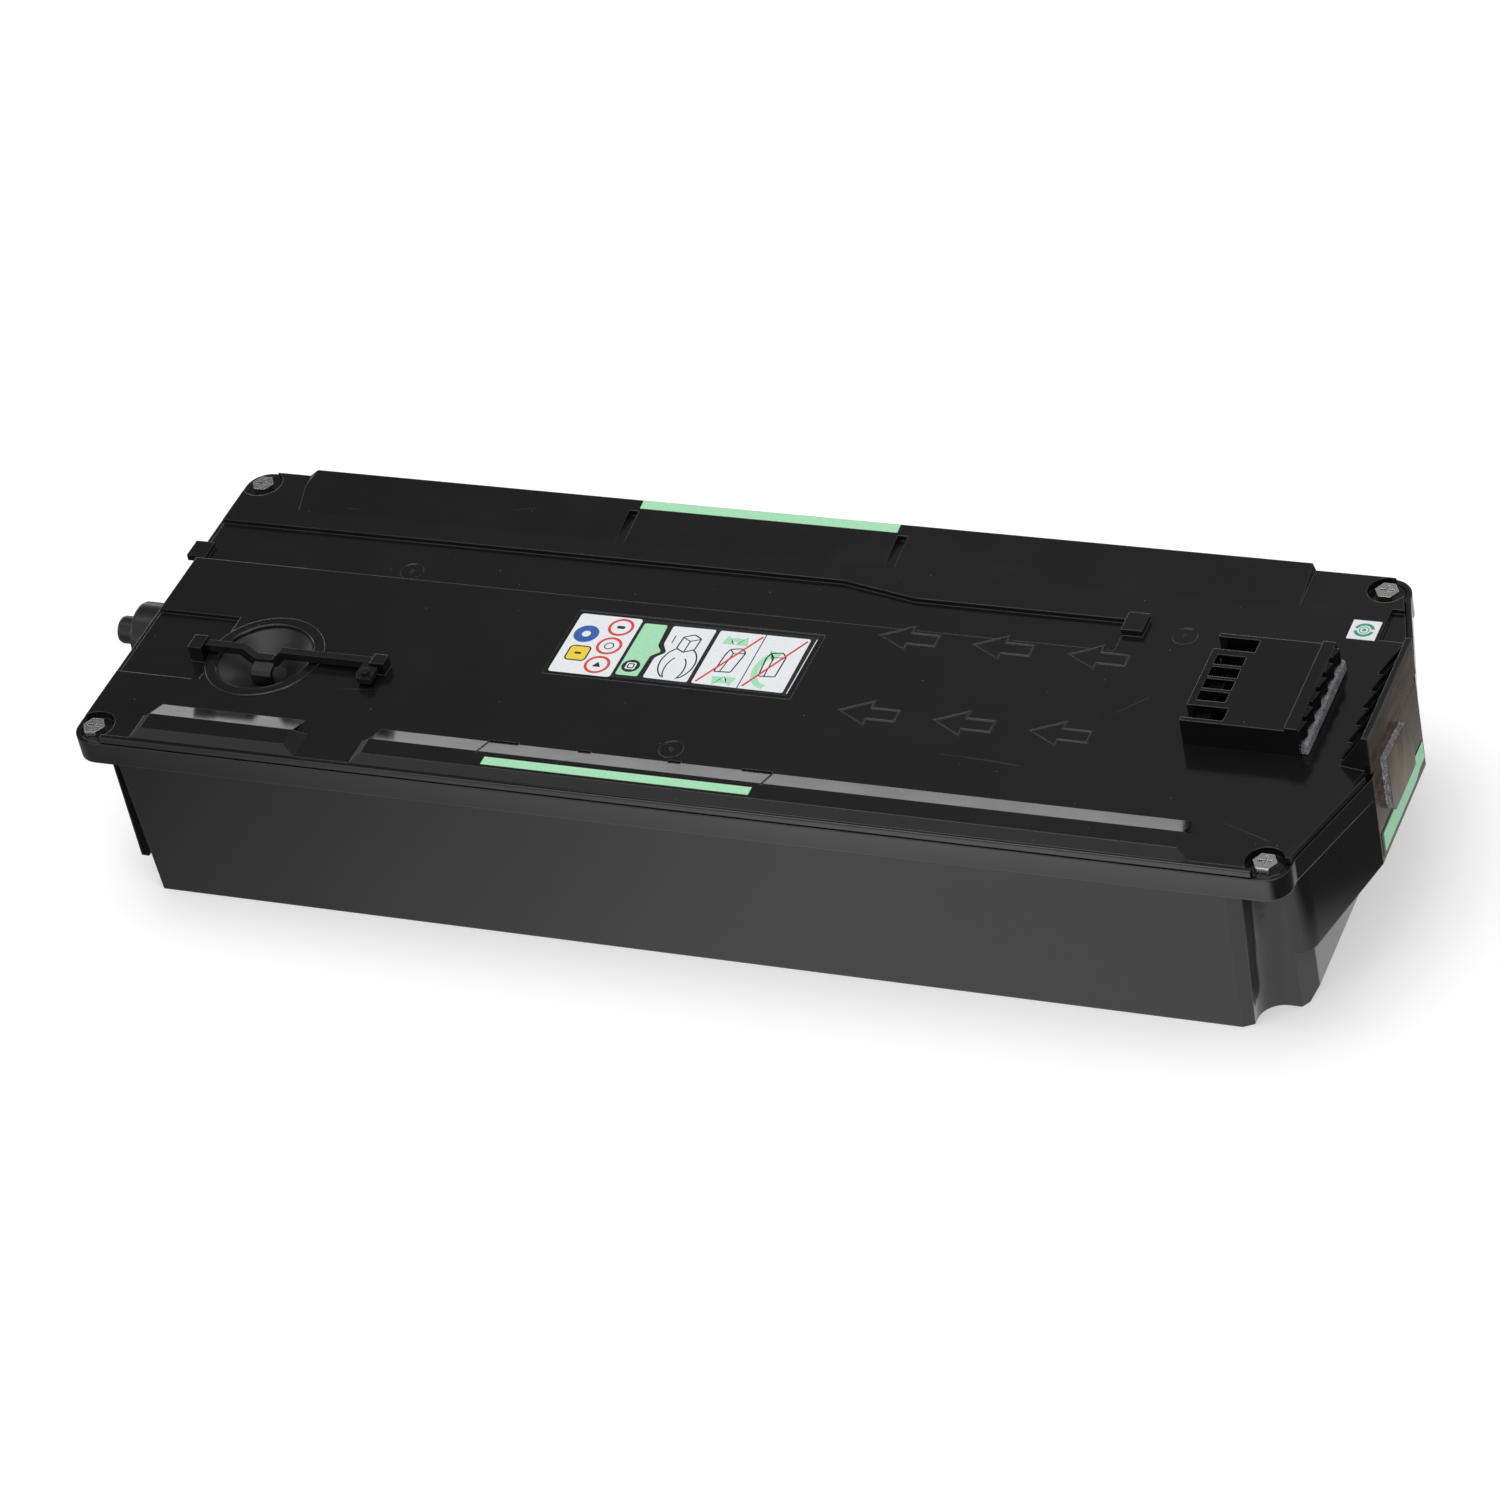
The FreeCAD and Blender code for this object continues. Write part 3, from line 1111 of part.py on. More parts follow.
# The lever: a cranked square bar on two pins, with a foot on the diaphragm and a flag at its right end.
def make_feeler_lever():
    body = new_body("feeler_lever")
    half = D.lever_bar / 2
    west = -D.left_bracket + D.bracket_long + D.lever_side
    east = -D.right_bracket - D.bracket_long - D.lever_side
    low_left = dish_x - D.lever_crank / 2
    low_right = dish_x + D.lever_crank / 2
    high_z = lever_z + half
    low_z = lever_z - half
    bar = sketch_on(body, "XZ_Plane", lever_y + half, "bar")
    polygon(bar, [
        (west, low_z),
        (low_left - D.lever_ramp, low_z),
        (low_left, low_z - D.lever_drop),
        (low_right, low_z - D.lever_drop),
        (low_right + D.lever_ramp, low_z),
        (east, low_z),
        (east, high_z),
        (low_right + D.lever_ramp * 0.6, high_z),
        (low_right - D.lever_ramp * 0.4, high_z - D.lever_drop),
        (low_left + D.lever_ramp * 0.4, high_z - D.lever_drop),
        (low_left - D.lever_ramp * 0.6, high_z),
        (west, high_z),
    ])
    pad(body, bar, D.lever_bar)
    pins = sketch_on(body, "YZ_Plane", west - D.lever_side - D.lever_pin_long + 0.2, "pins")
    circle(pins, lever_y, lever_z, D.lever_pin)
    pad(body, pins, D.lever_pin_long + D.lever_side)
    right_pin = sketch_on(body, "YZ_Plane", east - 0.2, "right_pin")
    circle(right_pin, lever_y, lever_z, D.lever_pin)
    pad(body, right_pin, D.lever_pin_long + D.lever_side)
    foot_z = dish_seat_z + D.rubber_thick - D.dish_deep + D.lever_foot_gap
    foot = sketch_on(body, "YZ_Plane", low_left + 1, "foot")
    tip = lever_y - D.lever_foot_reach
    polygon(foot, [
        (lever_y - half + 0.4, low_z - D.lever_drop),
        (lever_y - half + 0.4, low_z - D.lever_drop + 1.6),
        (tip + 1, low_z - D.lever_drop + 0.4),
        (tip, low_z - D.lever_drop - 1),
        (tip, foot_z + 0.6),
        (tip + 0.6, foot_z),
        (tip + 1.6, foot_z),
        (tip + 1.8, foot_z + 1),
        (tip + 1.8, low_z - D.lever_drop - 1),
    ])
    pad(body, foot, D.lever_crank - 2)
    gap = sketch_on(body, "XZ_Plane", tip + 2.4, "gap")
    rectangle(gap, dish_x - D.lever_crank / 5, foot_z - 1, dish_x + D.lever_crank / 5,
              low_z - D.lever_drop - 0.8)
    pocket(body, gap, D.lever_foot_reach, reverse=False)
    flag = sketch_on(body, "XY_Plane", lever_z - D.flag_thick / 2, "flag")
    flag_east = east + D.flag_past
    flag_west = flag_east - D.flag_long
    neck = lever_y - D.bracket_half - D.lever_side
    polygon(flag, [
        (flag_west - 1.2, lever_y - half + 0.3),
        (flag_west - 1.2, lever_y - D.flag_reach + 2.4),
        (flag_west, lever_y - D.flag_reach),
        (flag_east, lever_y - D.flag_reach),
        (flag_east, neck),
        (east, neck),
        (east, lever_y - half + 0.3),
    ])
    pad(body, flag, D.flag_thick)
    stub = sketch_on(body, "XY_Plane", lever_z - D.flag_thick / 2, "stub")
    circle(stub, flag_east - D.flag_long / 2, lever_y - D.flag_reach + 2.2, D.flag_thick * 0.75)
    pad(body, stub, D.flag_thick * 1.9)
    return body


# The hood over the inlet, with slots, windows and a comb, and the filter under the comb.
def make_inlet_hood():
    body = new_body("inlet_hood")
    top = cover_top + D.hood_high
    block = sketch_on(body, "XY_Plane", cover_top, "block")
    rectangle(block, D.hood_left, -D.hood_front, D.hood_right, D.hood_rear)
    pad(body, block, D.hood_high)
    east = D.hood_right + D.hood_eave
    eave = sketch_on(body, "XY_Plane", top - D.hood_wall, "eave")
    rectangle(eave, D.hood_right - 0.5, -D.hood_front, east, D.hood_rear)
    pad(body, eave, D.hood_wall + D.hood_step)
    comb = sketch_on(body, "XY_Plane", cover_top, "comb")
    rectangle(comb, east - D.comb_thick, -D.hood_front, east, D.hood_rear)
    pad(body, comb, D.hood_high)
    cheeks = sketch_on(body, "XY_Plane", cover_top, "cheeks")
    rectangle(cheeks, D.hood_right - 0.5, -D.hood_front, east, -D.hood_front + D.hood_wall)
    rectangle(cheeks, D.hood_right - 0.5, D.hood_rear - D.hood_wall, east, D.hood_rear)
    pad(body, cheeks, D.hood_high)
    hollow = sketch_on(body, "XY_Plane", cover_top, "hollow")
    rectangle(hollow, D.hood_left + D.hood_wall, -D.hood_front + D.hood_wall,
              D.hood_right - D.hood_wall, D.hood_rear - D.hood_wall)
    pocket(body, hollow, D.hood_high - D.hood_wall, reverse=True)

    # The teeth of the comb: each leans out a little further at its rear end.
    count = int(D.comb_count.value)
    pitch = (D.hood_rear + D.hood_front) / count
    teeth = sketch_on(body, "XY_Plane", cover_top + D.comb_gap, "teeth")
    for index in range(count):
        y = -D.hood_front + pitch * index
        polygon(teeth, [
            (east - D.comb_thick / 2, y + pitch * 0.1),
            (east + D.comb_tooth * 0.3, y + pitch * 0.1),
            (east + D.comb_tooth, y + pitch * 0.75),
            (east - D.comb_thick / 2, y + pitch * 0.75),
        ])
    pad(body, teeth, D.hood_high - D.comb_gap)
    slots = sketch_on(body, "XY_Plane", top, "slots")
    rear_slot = D.hood_rear - D.hood_wall - D.hood_slot_wide
    rectangle(slots, D.hood_left - 1, rear_slot, D.hood_left + D.hood_slot_long, rear_slot + D.hood_slot_wide)
    front_slot = -D.hood_front + D.hood_wall
    rectangle(slots, D.hood_left - 1, front_slot, D.hood_left + D.hood_slot_long,
              front_slot + D.hood_slot_wide)
    pocket(body, slots, D.hood_high * 0.6)
    windows = sketch_on(body, "XY_Plane", top, "windows")
    span = rear_slot - front_slot - D.hood_slot_wide
    step = D.hood_window_wide + D.hood_bar
    first = front_slot + D.hood_slot_wide + (span - step * 4 + D.hood_bar) / 2
    for index in range(4):
        low = first + step * index
        rectangle(windows, D.hood_left + 2.2, low, D.hood_left + 2.2 + D.hood_window_long,
                  low + D.hood_window_wide)
    pocket(body, windows, D.hood_wall)
    return body


def make_inlet_foam():
    body = new_body("inlet_foam")
    east = D.hood_right + D.hood_eave
    strip = sketch_on(body, "XZ_Plane", D.hood_rear, "strip")
    polygon(strip, [
        (east, cover_top),
        (east + D.foam_wide, cover_top),
        (east + D.foam_wide, cover_top + D.foam_high * 0.8),
        (east + D.foam_wide * 0.8, cover_top + D.foam_high),
        (east, cover_top + D.foam_high),
    ])
    pad(body, strip, D.hood_rear + D.hood_front - D.hood_wall)
    return body


# The foam pad on the end wall and the film on its face.
def pad_outline():
    high = cover_top - D.pad_top
    low = high - D.pad_high
    return [
        (-D.pad_front, high),
        (D.pad_rear - D.pad_bevel, high - D.pad_bevel / 2),
        (D.pad_rear, high - D.pad_bevel * 1.6),
        (D.pad_rear, low),
        (-D.pad_front + D.pad_bevel / 2, low),
        (-D.pad_front, low + D.pad_bevel),
    ]


def end_piece(name, start, thick, corners):
    body = new_body(name)
    sketch = sketch_on(body, "YZ_Plane", start, "face")
    polygon(sketch, corners)
    pad(body, sketch, thick)
    return body


def flat_piece(name, level, thick, corners):
    body = new_body(name)
    sketch = sketch_on(body, "XY_Plane", level, "face")
    polygon(sketch, corners)
    pad(body, sketch, thick)
    return body


def box_corners(west, low, east, high):
    return [(west, low), (east, low), (east, high), (west, high)]


def make_labels():
    end_strip_top = cover_top - D.pad_top - D.pad_high - D.end_strip_gap
    end_strip_low = end_strip_top - D.end_strip_high
    crest = cover_top + D.ridge_high
    ramp_slope = D.ramp_high / (cover_rear - D.ramp_front)
    pieces = [
        end_piece("end_pad_foam", nose, D.pad_thick, pad_outline()),
        end_piece("end_pad_film", nose + D.pad_thick, D.film_thick, pad_outline()),
        end_piece("end_strip_label", nose, D.label_thick,
                  box_corners(-D.nose_front + 1.5, end_strip_low, D.nose_rear - 1, end_strip_top)),
        flat_piece("instruction_label", cover_top - D.label_recess, D.label_thick,
                   box_corners(-D.label_left, -D.label_half, D.label_right, D.label_half)),
        flat_piece("small_label", cover_top, D.label_thick,
                   box_corners(D.badge_place - D.badge_long / 2, D.badge_rear - D.badge_wide / 2,
                               D.badge_place + D.badge_long / 2, D.badge_rear + D.badge_wide / 2)),
        flat_piece("front_strip_label", crest, D.label_thick,
                   box_corners(-D.strip_left, -D.ridge_crest - D.strip_back - D.strip_wide,
                               D.strip_right, -D.ridge_crest - D.strip_back)),
    ]
    # The rear strip lies on the ramp, so it is drawn across and run along the bottle.
    body = new_body("rear_strip_label")
    high_y = cover_rear - 0.2
    low_y = high_y - D.rear_strip_wide
    high_z = cover_top + D.ramp_high - ramp_slope * 0.2
    low_z = high_z - ramp_slope * D.rear_strip_wide
    sketch = sketch_on(body, "YZ_Plane", -D.rear_strip_left, "face")
    polygon(sketch, [
        (low_y, low_z),
        (high_y, high_z),
        (high_y, high_z + D.label_thick),
        (low_y, low_z + D.label_thick),
    ])
    pad(body, sketch, D.rear_strip_left + D.rear_strip_right)
    pieces.append(body)
    return pieces


PIECES = [
    make_lower_tub(),
    make_hanging_tongue(),
    make_cover_gasket(),
    make_top_cover(),
    make_cover_screws(),
    make_shaft_bush(),
    make_shaft_seal(),
    make_end_bush(),
    make_drive_coupling(),
    make_auger(),
    make_diaphragm(),
    make_diaphragm_ring(),
    make_feeler_lever(),
    make_inlet_hood(),
    make_inlet_foam(),
] + make_labels()

doc.recompute()
for item in doc.Objects:
    if "Invalid" in item.State or "Error" in item.State:
        raise RuntimeError(f"{item.Label} did not compute: {item.State}")
for piece in PIECES:
    if piece.Shape.isNull() or not piece.Shape.isValid():
        raise RuntimeError(f"{piece.Label} has no valid shape")
    print(piece.Label, len(piece.Shape.Solids), round(piece.Shape.Volume, 1), piece.Shape.BoundBox)
for piece in PIECES:
    piece.Shape.exportStep(f"parts/{piece.Label}.step")
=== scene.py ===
import math

import bmesh
import bpy
import numpy as np
from mathutils import Matrix


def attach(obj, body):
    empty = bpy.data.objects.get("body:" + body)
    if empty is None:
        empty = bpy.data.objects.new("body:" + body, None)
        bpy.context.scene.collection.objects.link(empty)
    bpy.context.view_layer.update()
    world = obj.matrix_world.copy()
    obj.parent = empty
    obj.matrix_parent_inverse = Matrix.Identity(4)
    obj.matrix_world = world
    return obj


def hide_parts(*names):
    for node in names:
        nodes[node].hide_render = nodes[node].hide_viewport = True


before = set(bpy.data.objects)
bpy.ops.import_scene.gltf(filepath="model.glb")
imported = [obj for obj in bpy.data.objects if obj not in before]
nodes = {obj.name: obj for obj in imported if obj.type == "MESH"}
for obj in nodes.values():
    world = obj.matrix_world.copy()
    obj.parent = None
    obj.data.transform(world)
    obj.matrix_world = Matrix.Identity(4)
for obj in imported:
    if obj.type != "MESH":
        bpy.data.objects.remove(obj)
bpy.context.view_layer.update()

mm = 0.001
print("frame loaded:", len(nodes), "nodes")


# Colour written as sRGB hex, turned to the linear values that the shaders take.
def hexColour(text):
    parts = [int(text[i:i + 2], 16) / 255 for i in (1, 3, 5)]
    linear = [c / 12.92 if c <= 0.04045 else ((c + 0.055) / 1.055) ** 2.4 for c in parts]
    return (*linear, 1.0)


# Adds one node: settings are its own options or socket values, links feed its sockets.
def addNode(tree, kind, settings=None, links=None):
    node = tree.nodes.new("ShaderNode" + kind)
    for name, value in (settings or {}).items():
        if isinstance(name, int) or name in node.inputs:
            node.inputs[name].default_value = value
        else:
            setattr(node, name, value)
    for name, socket in (links or {}).items():
        tree.links.new(socket, node.inputs[name])
    return node


def newTree(name):
    material = bpy.data.materials.new(name)
    material.use_nodes = True
    tree = material.node_tree
    tree.nodes.clear()
    where = addNode(tree, "TexCoord").outputs["Object"]
    return material, tree, where


def closeTree(tree, shader):
    addNode(tree, "OutputMaterial", links={"Surface": shader.outputs[0]})


def spread(tree, value, low, high, toLow=0.0, toHigh=1.0):
    return addNode(tree, "MapRange", {1: low, 2: high, 3: toLow, 4: toHigh}, {0: value}).outputs[0]


def times(tree, first, second, operation="MULTIPLY"):
    settings = {"operation": operation}
    links = {0: first}
    if isinstance(second, (int, float)):
        settings[1] = second
    else:
        links[1] = second
    return addNode(tree, "Math", settings, links).outputs[0]


def blendColour(tree, factor, first, second):
    settings = {"data_type": "RGBA"}
    links = {0: factor}
    for index, colour in ((6, first), (7, second)):
        if isinstance(colour, str):
            settings[index] = hexColour(colour)
        else:
            links[index] = colour
    return addNode(tree, "Mix", settings, links).outputs[2]


# A stain with soft edges: 1 in the middle of an ellipse and 0 at its edge, frayed by noise.
def stain(tree, where, middle, reach, frayMm):
    apart = addNode(tree, "VectorMath", {"operation": "SUBTRACT", 1: [c * mm for c in middle]}, {0: where})
    scaled = addNode(tree, "VectorMath", {"operation": "DIVIDE", 1: [r * mm for r in reach]},
                     {0: apart.outputs[0]})
    away = addNode(tree, "VectorMath", {"operation": "LENGTH"}, {0: scaled.outputs[0]}).outputs["Value"]
    fray = addNode(tree, "TexNoise", {"Scale": 1 / (frayMm * mm), "Detail": 4}, {"Vector": where})
    return spread(tree, times(tree, away, times(tree, fray.outputs["Fac"], 1.6), "ADD"), 1.75, 1.15)


# Long fine scratches: thin bands of wide rings round a far point, broken up by noise. One turn
# of the wave takes ringTurn divided by its scale.
ringTurn = 0.314
pieceMm = 38


def longScratches(tree, where, look):
    total = None
    for middle, apartMm, seed in look:
        moved = addNode(tree, "Mapping", {"Location": [-c * mm for c in middle]}, {"Vector": where})
        rings = addNode(tree, "TexWave", {"wave_type": "RINGS", "rings_direction": "Z",
                                          "Scale": ringTurn / (apartMm * mm), "Distortion": 0.9,
                                          "Detail": 1, "Detail Scale": 0.6, "Phase Offset": seed},
                        {"Vector": moved.outputs[0]})
        line = spread(tree, rings.outputs["Fac"], 0.99990, 0.99999)
        piece = addNode(tree, "TexNoise", {"Scale": 1 / (pieceMm * mm), "Detail": 2},
                        {"Vector": moved.outputs[0]})
        line = times(tree, line, spread(tree, piece.outputs["Fac"], 0.60, 0.66))
        total = line if total is None else times(tree, total, line, "MAXIMUM")
    return total


# What all the moulded plastics share: patches of edge wear with painted edge highlight, streaks of painted
# brown reflection, dust and smudges.
skin = {"patchMm": 9, "streakMm": 4.5, "dustMm": 3.2, "dustColour": "#9a9ca0", "smudgeMm": 22,
        "scratchRough": 0.15, "scratchTone": 0.25, "wornRough": 0.15, "brownReflectionRough": 0.1}


# Injection moulded plastic. The eye gets a dark body colour, a broad soft reflection that wanders with the
# sink of the wall, bright lines on the edges that are partly wear and partly painted highlight, and a
# little dust.
def mouldedPlastic(name, look):
    material, tree, where = newTree(name)
    bevel = addNode(tree, "Bevel", {"samples": 6, "Radius": look["edgeMm"] * mm})
    face = addNode(tree, "NewGeometry").outputs["Normal"]
    turn = addNode(tree, "VectorMath", {"operation": "DOT_PRODUCT"}, {0: bevel.outputs[0], 1: face})
    edge = spread(tree, turn.outputs["Value"], 0.995, 0.86)
    patchy = addNode(tree, "TexNoise", {"Scale": 1 / (skin["patchMm"] * mm), "Detail": 3},
                     {"Vector": where})
    edgeWearAndSheen = times(tree, edge, spread(tree, patchy.outputs["Fac"], 0.35, 0.7, 0.25, 1.0))
    edgeWearAndSheen = times(tree, edgeWearAndSheen, look["edgeWearAndSheen"])

    # Tone drifts slowly over the wall, as the melt cooled unevenly.
    drift = addNode(tree, "TexNoise", {"Scale": 1 / (look["driftMm"] * mm), "Detail": 4,
                                       "Distortion": 1.2}, {"Vector": where})
    driftFac = spread(tree, drift.outputs["Fac"], 0.3, 0.72)
    colour = blendColour(tree, driftFac, look["colour"], look["colourFar"])
    # Lighter edges: partly wear, partly a painted highlight along the rounded edges.
    colour = blendColour(tree, edgeWearAndSheen, colour, look["wornAndSheenColour"])
    for middle, reach, fray, tone in look.get("stains", []):
        colour = blendColour(tree, stain(tree, where, middle, reach, fray), colour, tone)

    # Painted reflection on the face of the right end: a brown surface mirrored there, drawn out into
    # streaks along the wall.
    brownReflection = None
    if "brownReflection" in look:
        fromMm, dark, light = look["brownReflection"]
        drawn = addNode(tree, "Mapping", {"Scale": (1.0, 0.22, 1.6)}, {"Vector": where})
        streaks = addNode(tree, "TexNoise", {"Scale": 1 / (skin["streakMm"] * mm), "Detail": 6,
                                             "Roughness": 0.65, "Distortion": 0.8},
                          {"Vector": drawn.outputs[0]})
        brown = blendColour(tree, spread(tree, streaks.outputs["Fac"], 0.34, 0.72), dark, light)
        place = addNode(tree, "SeparateXYZ", links={0: where}).outputs["X"]
        brownReflection = spread(tree, place, fromMm * mm, (fromMm + 0.4) * mm)
        outward = addNode(tree, "SeparateXYZ", links={0: face}).outputs["X"]
        brownReflection = times(tree, brownReflection, spread(tree, outward, 0.97, 0.99))
        colour = blendColour(tree, brownReflection, colour, brown)

    # Dust: one speck in a few of the cells. Real specks are 0.05 mm, drawn coarser to show.
    cells = addNode(tree, "TexVoronoi", {"Scale": 1 / (skin["dustMm"] * mm)}, {"Vector": where})
    chosen = addNode(tree, "SeparateColor", links={"Color": cells.outputs["Color"]})
    speck = spread(tree, cells.outputs["Distance"], 0.05, 0.025)
    dust = times(tree, speck, spread(tree, chosen.outputs[0], 0.86, 0.90))
    dust = times(tree, dust, look["dust"])
    colour = blendColour(tree, dust, colour, skin["dustColour"])

    # Roughness: handling leaves smudges about 20 mm across, and here and there a long scratch.
    smudge = addNode(tree, "TexNoise", {"Scale": 1 / (skin["smudgeMm"] * mm), "Detail": 5,
                                        "Roughness": 0.62}, {"Vector": where})
    gloss = spread(tree, smudge.outputs["Fac"], 0.32, 0.7, look["rough"][0], look["rough"][1])
    if "scratches" in look:
        scratch = longScratches(tree, where, look["scratches"])
        gloss = times(tree, gloss, times(tree, scratch, skin["scratchRough"]), "ADD")
        tone = times(tree, scratch, skin["scratchTone"])
        colour = blendColour(tree, tone, colour, look["wornAndSheenColour"])
    gloss = times(tree, gloss, times(tree, edgeWearAndSheen, skin["wornRough"]), "ADD")
    if brownReflection is not None:
        gloss = times(tree, gloss, times(tree, brownReflection, skin["brownReflectionRough"]), "ADD")

    # Relief: mould grain on top of the slow sink of the wall.
    grain = addNode(tree, "TexNoise", {"Scale": 1 / (look["grainMm"] * mm), "Detail": 3},
                    {"Vector": where})
    sink = addNode(tree, "TexNoise", {"Scale": 1 / (look["sinkMm"] * mm), "Detail": 1},
                   {"Vector": where})
    fine = addNode(tree, "Bump", {"Strength": 1.0, "Distance": look["grainDeep"] * mm},
                   {"Height": grain.outputs["Fac"], "Normal": bevel.outputs[0]})
    slow = addNode(tree, "Bump", {"Strength": 1.0, "Distance": look["sinkDeep"] * mm},
                   {"Height": sink.outputs["Fac"], "Normal": fine.outputs[0]})
    shader = addNode(tree, "BsdfPrincipled", {"IOR": look["ior"]}, {
        "Base Color": colour, "Roughness": gloss, "Normal": slow.outputs[0]})
    closeTree(tree, shader)
    return material


# Polystyrene from a polished mould: nearly mirror smooth, so reflections keep their shape.
coverLook = {"colour": "#0f0f11", "colourFar": "#131314", "wornAndSheenColour": "#4c4d50",
             "edgeMm": 0.45, "edgeWearAndSheen": 0.25, "driftMm": 70, "dust": 0.8, "rough": (0.10, 0.18),
             "grainMm": 0.9, "grainDeep": 0.002, "sinkMm": 30, "sinkDeep": 0.015, "ior": 1.55,
             "scratches": [((-150, 260, 67), 91, 1.3), ((90, -330, 67), 103, 4.1)],
             # The brown streaks on the right end face are a painted reflection of a brown surface.
             "brownReflection": (217.4, "#171008", "#553a1e")}
# The hood, moulded apart from a darker batch.
hoodLook = dict(coverLook, colour="#060607", colourFar="#0a0a0b", sinkDeep=0.01)
# The same polystyrene from a sparked mould: the wall spreads the light more.
tubLook = {"colour": "#0a0a0b", "colourFar": "#0e0e0f", "wornAndSheenColour": "#5a5b5e",
           "edgeMm": 0.7, "edgeWearAndSheen": 0.3, "driftMm": 55, "dust": 0.3, "rough": (0.13, 0.21),
           "grainMm": 0.6, "grainDeep": 0.002, "sinkMm": 60, "sinkDeep": 0.06, "ior": 1.55,
           "stains": [((-45, -70.4, 22.7), (7, 6, 2.2), 2.5, "#050505"),
                      ((-29, -70.4, 22.9), (5, 6, 1.8), 2.0, "#050505"),
                      ((9.6, -70.4, 24.6), (9, 6, 2.4), 2.5, "#050505"),
                      ((15.1, -70.4, 16.9), (12, 6, 2.0), 2.2, "#050505"),
                      ((41.2, -70.4, 18.9), (6, 6, 2.6), 2.0, "#050505")],
           # The brown streaks on the right end face are a painted reflection of a brown surface.
           "brownReflection": (217.4, "#171008", "#553a1e")}
# ABS moulded lever: smooth and very dark.
leverLook = {"colour": "#131214", "colourFar": "#19181b", "wornAndSheenColour": "#3a3a3e",
             "edgeMm": 0.2, "edgeWearAndSheen": 0.25, "driftMm": 14, "dust": 0.2, "rough": (0.14, 0.24),
             "grainMm": 0.5, "grainDeep": 0.002, "sinkMm": 9, "sinkDeep": 0.01, "ior": 1.54}
# Glass filled nylon coupling: satin, a shade greyer than the tub.
couplingLook = {"colour": "#161515", "colourFar": "#1c1b1b", "wornAndSheenColour": "#5c5c60",
                "edgeMm": 0.5, "edgeWearAndSheen": 0.45, "driftMm": 12, "dust": 0.3, "rough": (0.22, 0.32),
                "grainMm": 0.35, "grainDeep": 0.008, "sinkMm": 8, "sinkDeep": 0.01, "ior": 1.53}
# Natural acetal, machined smooth: off-white with a waxy sheen.
acetalLook = {"colour": "#d8d6cc", "colourFar": "#c9c6ba", "wornAndSheenColour": "#efeee8",
              "edgeMm": 0.25, "edgeWearAndSheen": 0.3, "driftMm": 18, "dust": 0.4, "rough": (0.28, 0.4),
              "grainMm": 0.4, "grainDeep": 0.004, "sinkMm": 10, "sinkDeep": 0.01, "ior": 1.48}

coverPlastic = mouldedPlastic("polystyrene polished", coverLook)
hoodPlastic = mouldedPlastic("polystyrene polished darker", hoodLook)
tubPlastic = mouldedPlastic("polystyrene sparked", tubLook)
leverPlastic = mouldedPlastic("ABS moulded", leverLook)
couplingPlastic = mouldedPlastic("nylon moulded", couplingLook)
acetal = mouldedPlastic("acetal turned", acetalLook)


# Zinc plated steel, passivated: bright metal with faint bands of blue and straw, and pits.
def zincPlate(name, look):
    material, tree, where = newTree(name)
    bands = addNode(tree, "TexNoise", {"Scale": 1 / (look["bandMm"] * mm), "Detail": 2},
                    {"Vector": where})
    colour = blendColour(tree, spread(tree, bands.outputs["Fac"], 0.35, 0.65), look["blue"], look["straw"])
    pits = addNode(tree, "TexNoise", {"Scale": 1 / (look["pitMm"] * mm), "Detail": 3},
                   {"Vector": where})
    gloss = spread(tree, pits.outputs["Fac"], 0.3, 0.7, look["rough"][0], look["rough"][1])
    bevel = addNode(tree, "Bevel", {"samples": 6, "Radius": look["edgeMm"] * mm})
    relief = addNode(tree, "Bump", {"Strength": 1.0, "Distance": look["pitDeep"] * mm},
                     {"Height": pits.outputs["Fac"], "Normal": bevel.outputs[0]})
    shader = addNode(tree, "BsdfPrincipled", {"Metallic": 1.0}, {
        "Base Color": colour, "Roughness": gloss, "Normal": relief.outputs[0]})
    closeTree(tree, shader)
    return material


screwLook = {"blue": "#d9dee2", "straw": "#e2dfd4", "bandMm": 2.4, "pitMm": 0.5,
             "rough": (0.14, 0.34), "pitDeep": 0.01, "edgeMm": 0.2}
zincSteel = zincPlate("steel zinc plated", screwLook)


# Nitrile rubber, moulded: soft dull sheen with a bloom that greys it in patches.
def mouldedRubber(name, look):
    material, tree, where = newTree(name)
    bloom = addNode(tree, "TexNoise", {"Scale": 1 / (look["bloomMm"] * mm), "Detail": 5,
                                       "Roughness": 0.6}, {"Vector": where})
    fac = spread(tree, bloom.outputs["Fac"], 0.38, 0.68)
    colour = blendColour(tree, fac, look["colour"], look["bloomColour"])
    gloss = spread(tree, bloom.outputs["Fac"], 0.3, 0.7, look["rough"][0], look["rough"][1])
    skin = addNode(tree, "TexNoise", {"Scale": 1 / (look["skinMm"] * mm), "Detail": 4},
                   {"Vector": where})
    relief = addNode(tree, "Bump", {"Strength": 1.0, "Distance": look["skinDeep"] * mm},
                     {"Height": skin.outputs["Fac"]})
    shader = addNode(tree, "BsdfPrincipled", {"IOR": 1.52}, {
        "Base Color": colour, "Roughness": gloss, "Normal": relief.outputs[0]})
    closeTree(tree, shader)
    return material


rubberLook = {"colour": "#161514", "bloomColour": "#262524", "bloomMm": 11,
              "rough": (0.30, 0.44), "skinMm": 0.6, "skinDeep": 0.006}
nitrile = mouldedRubber("nitrile rubber moulded", rubberLook)


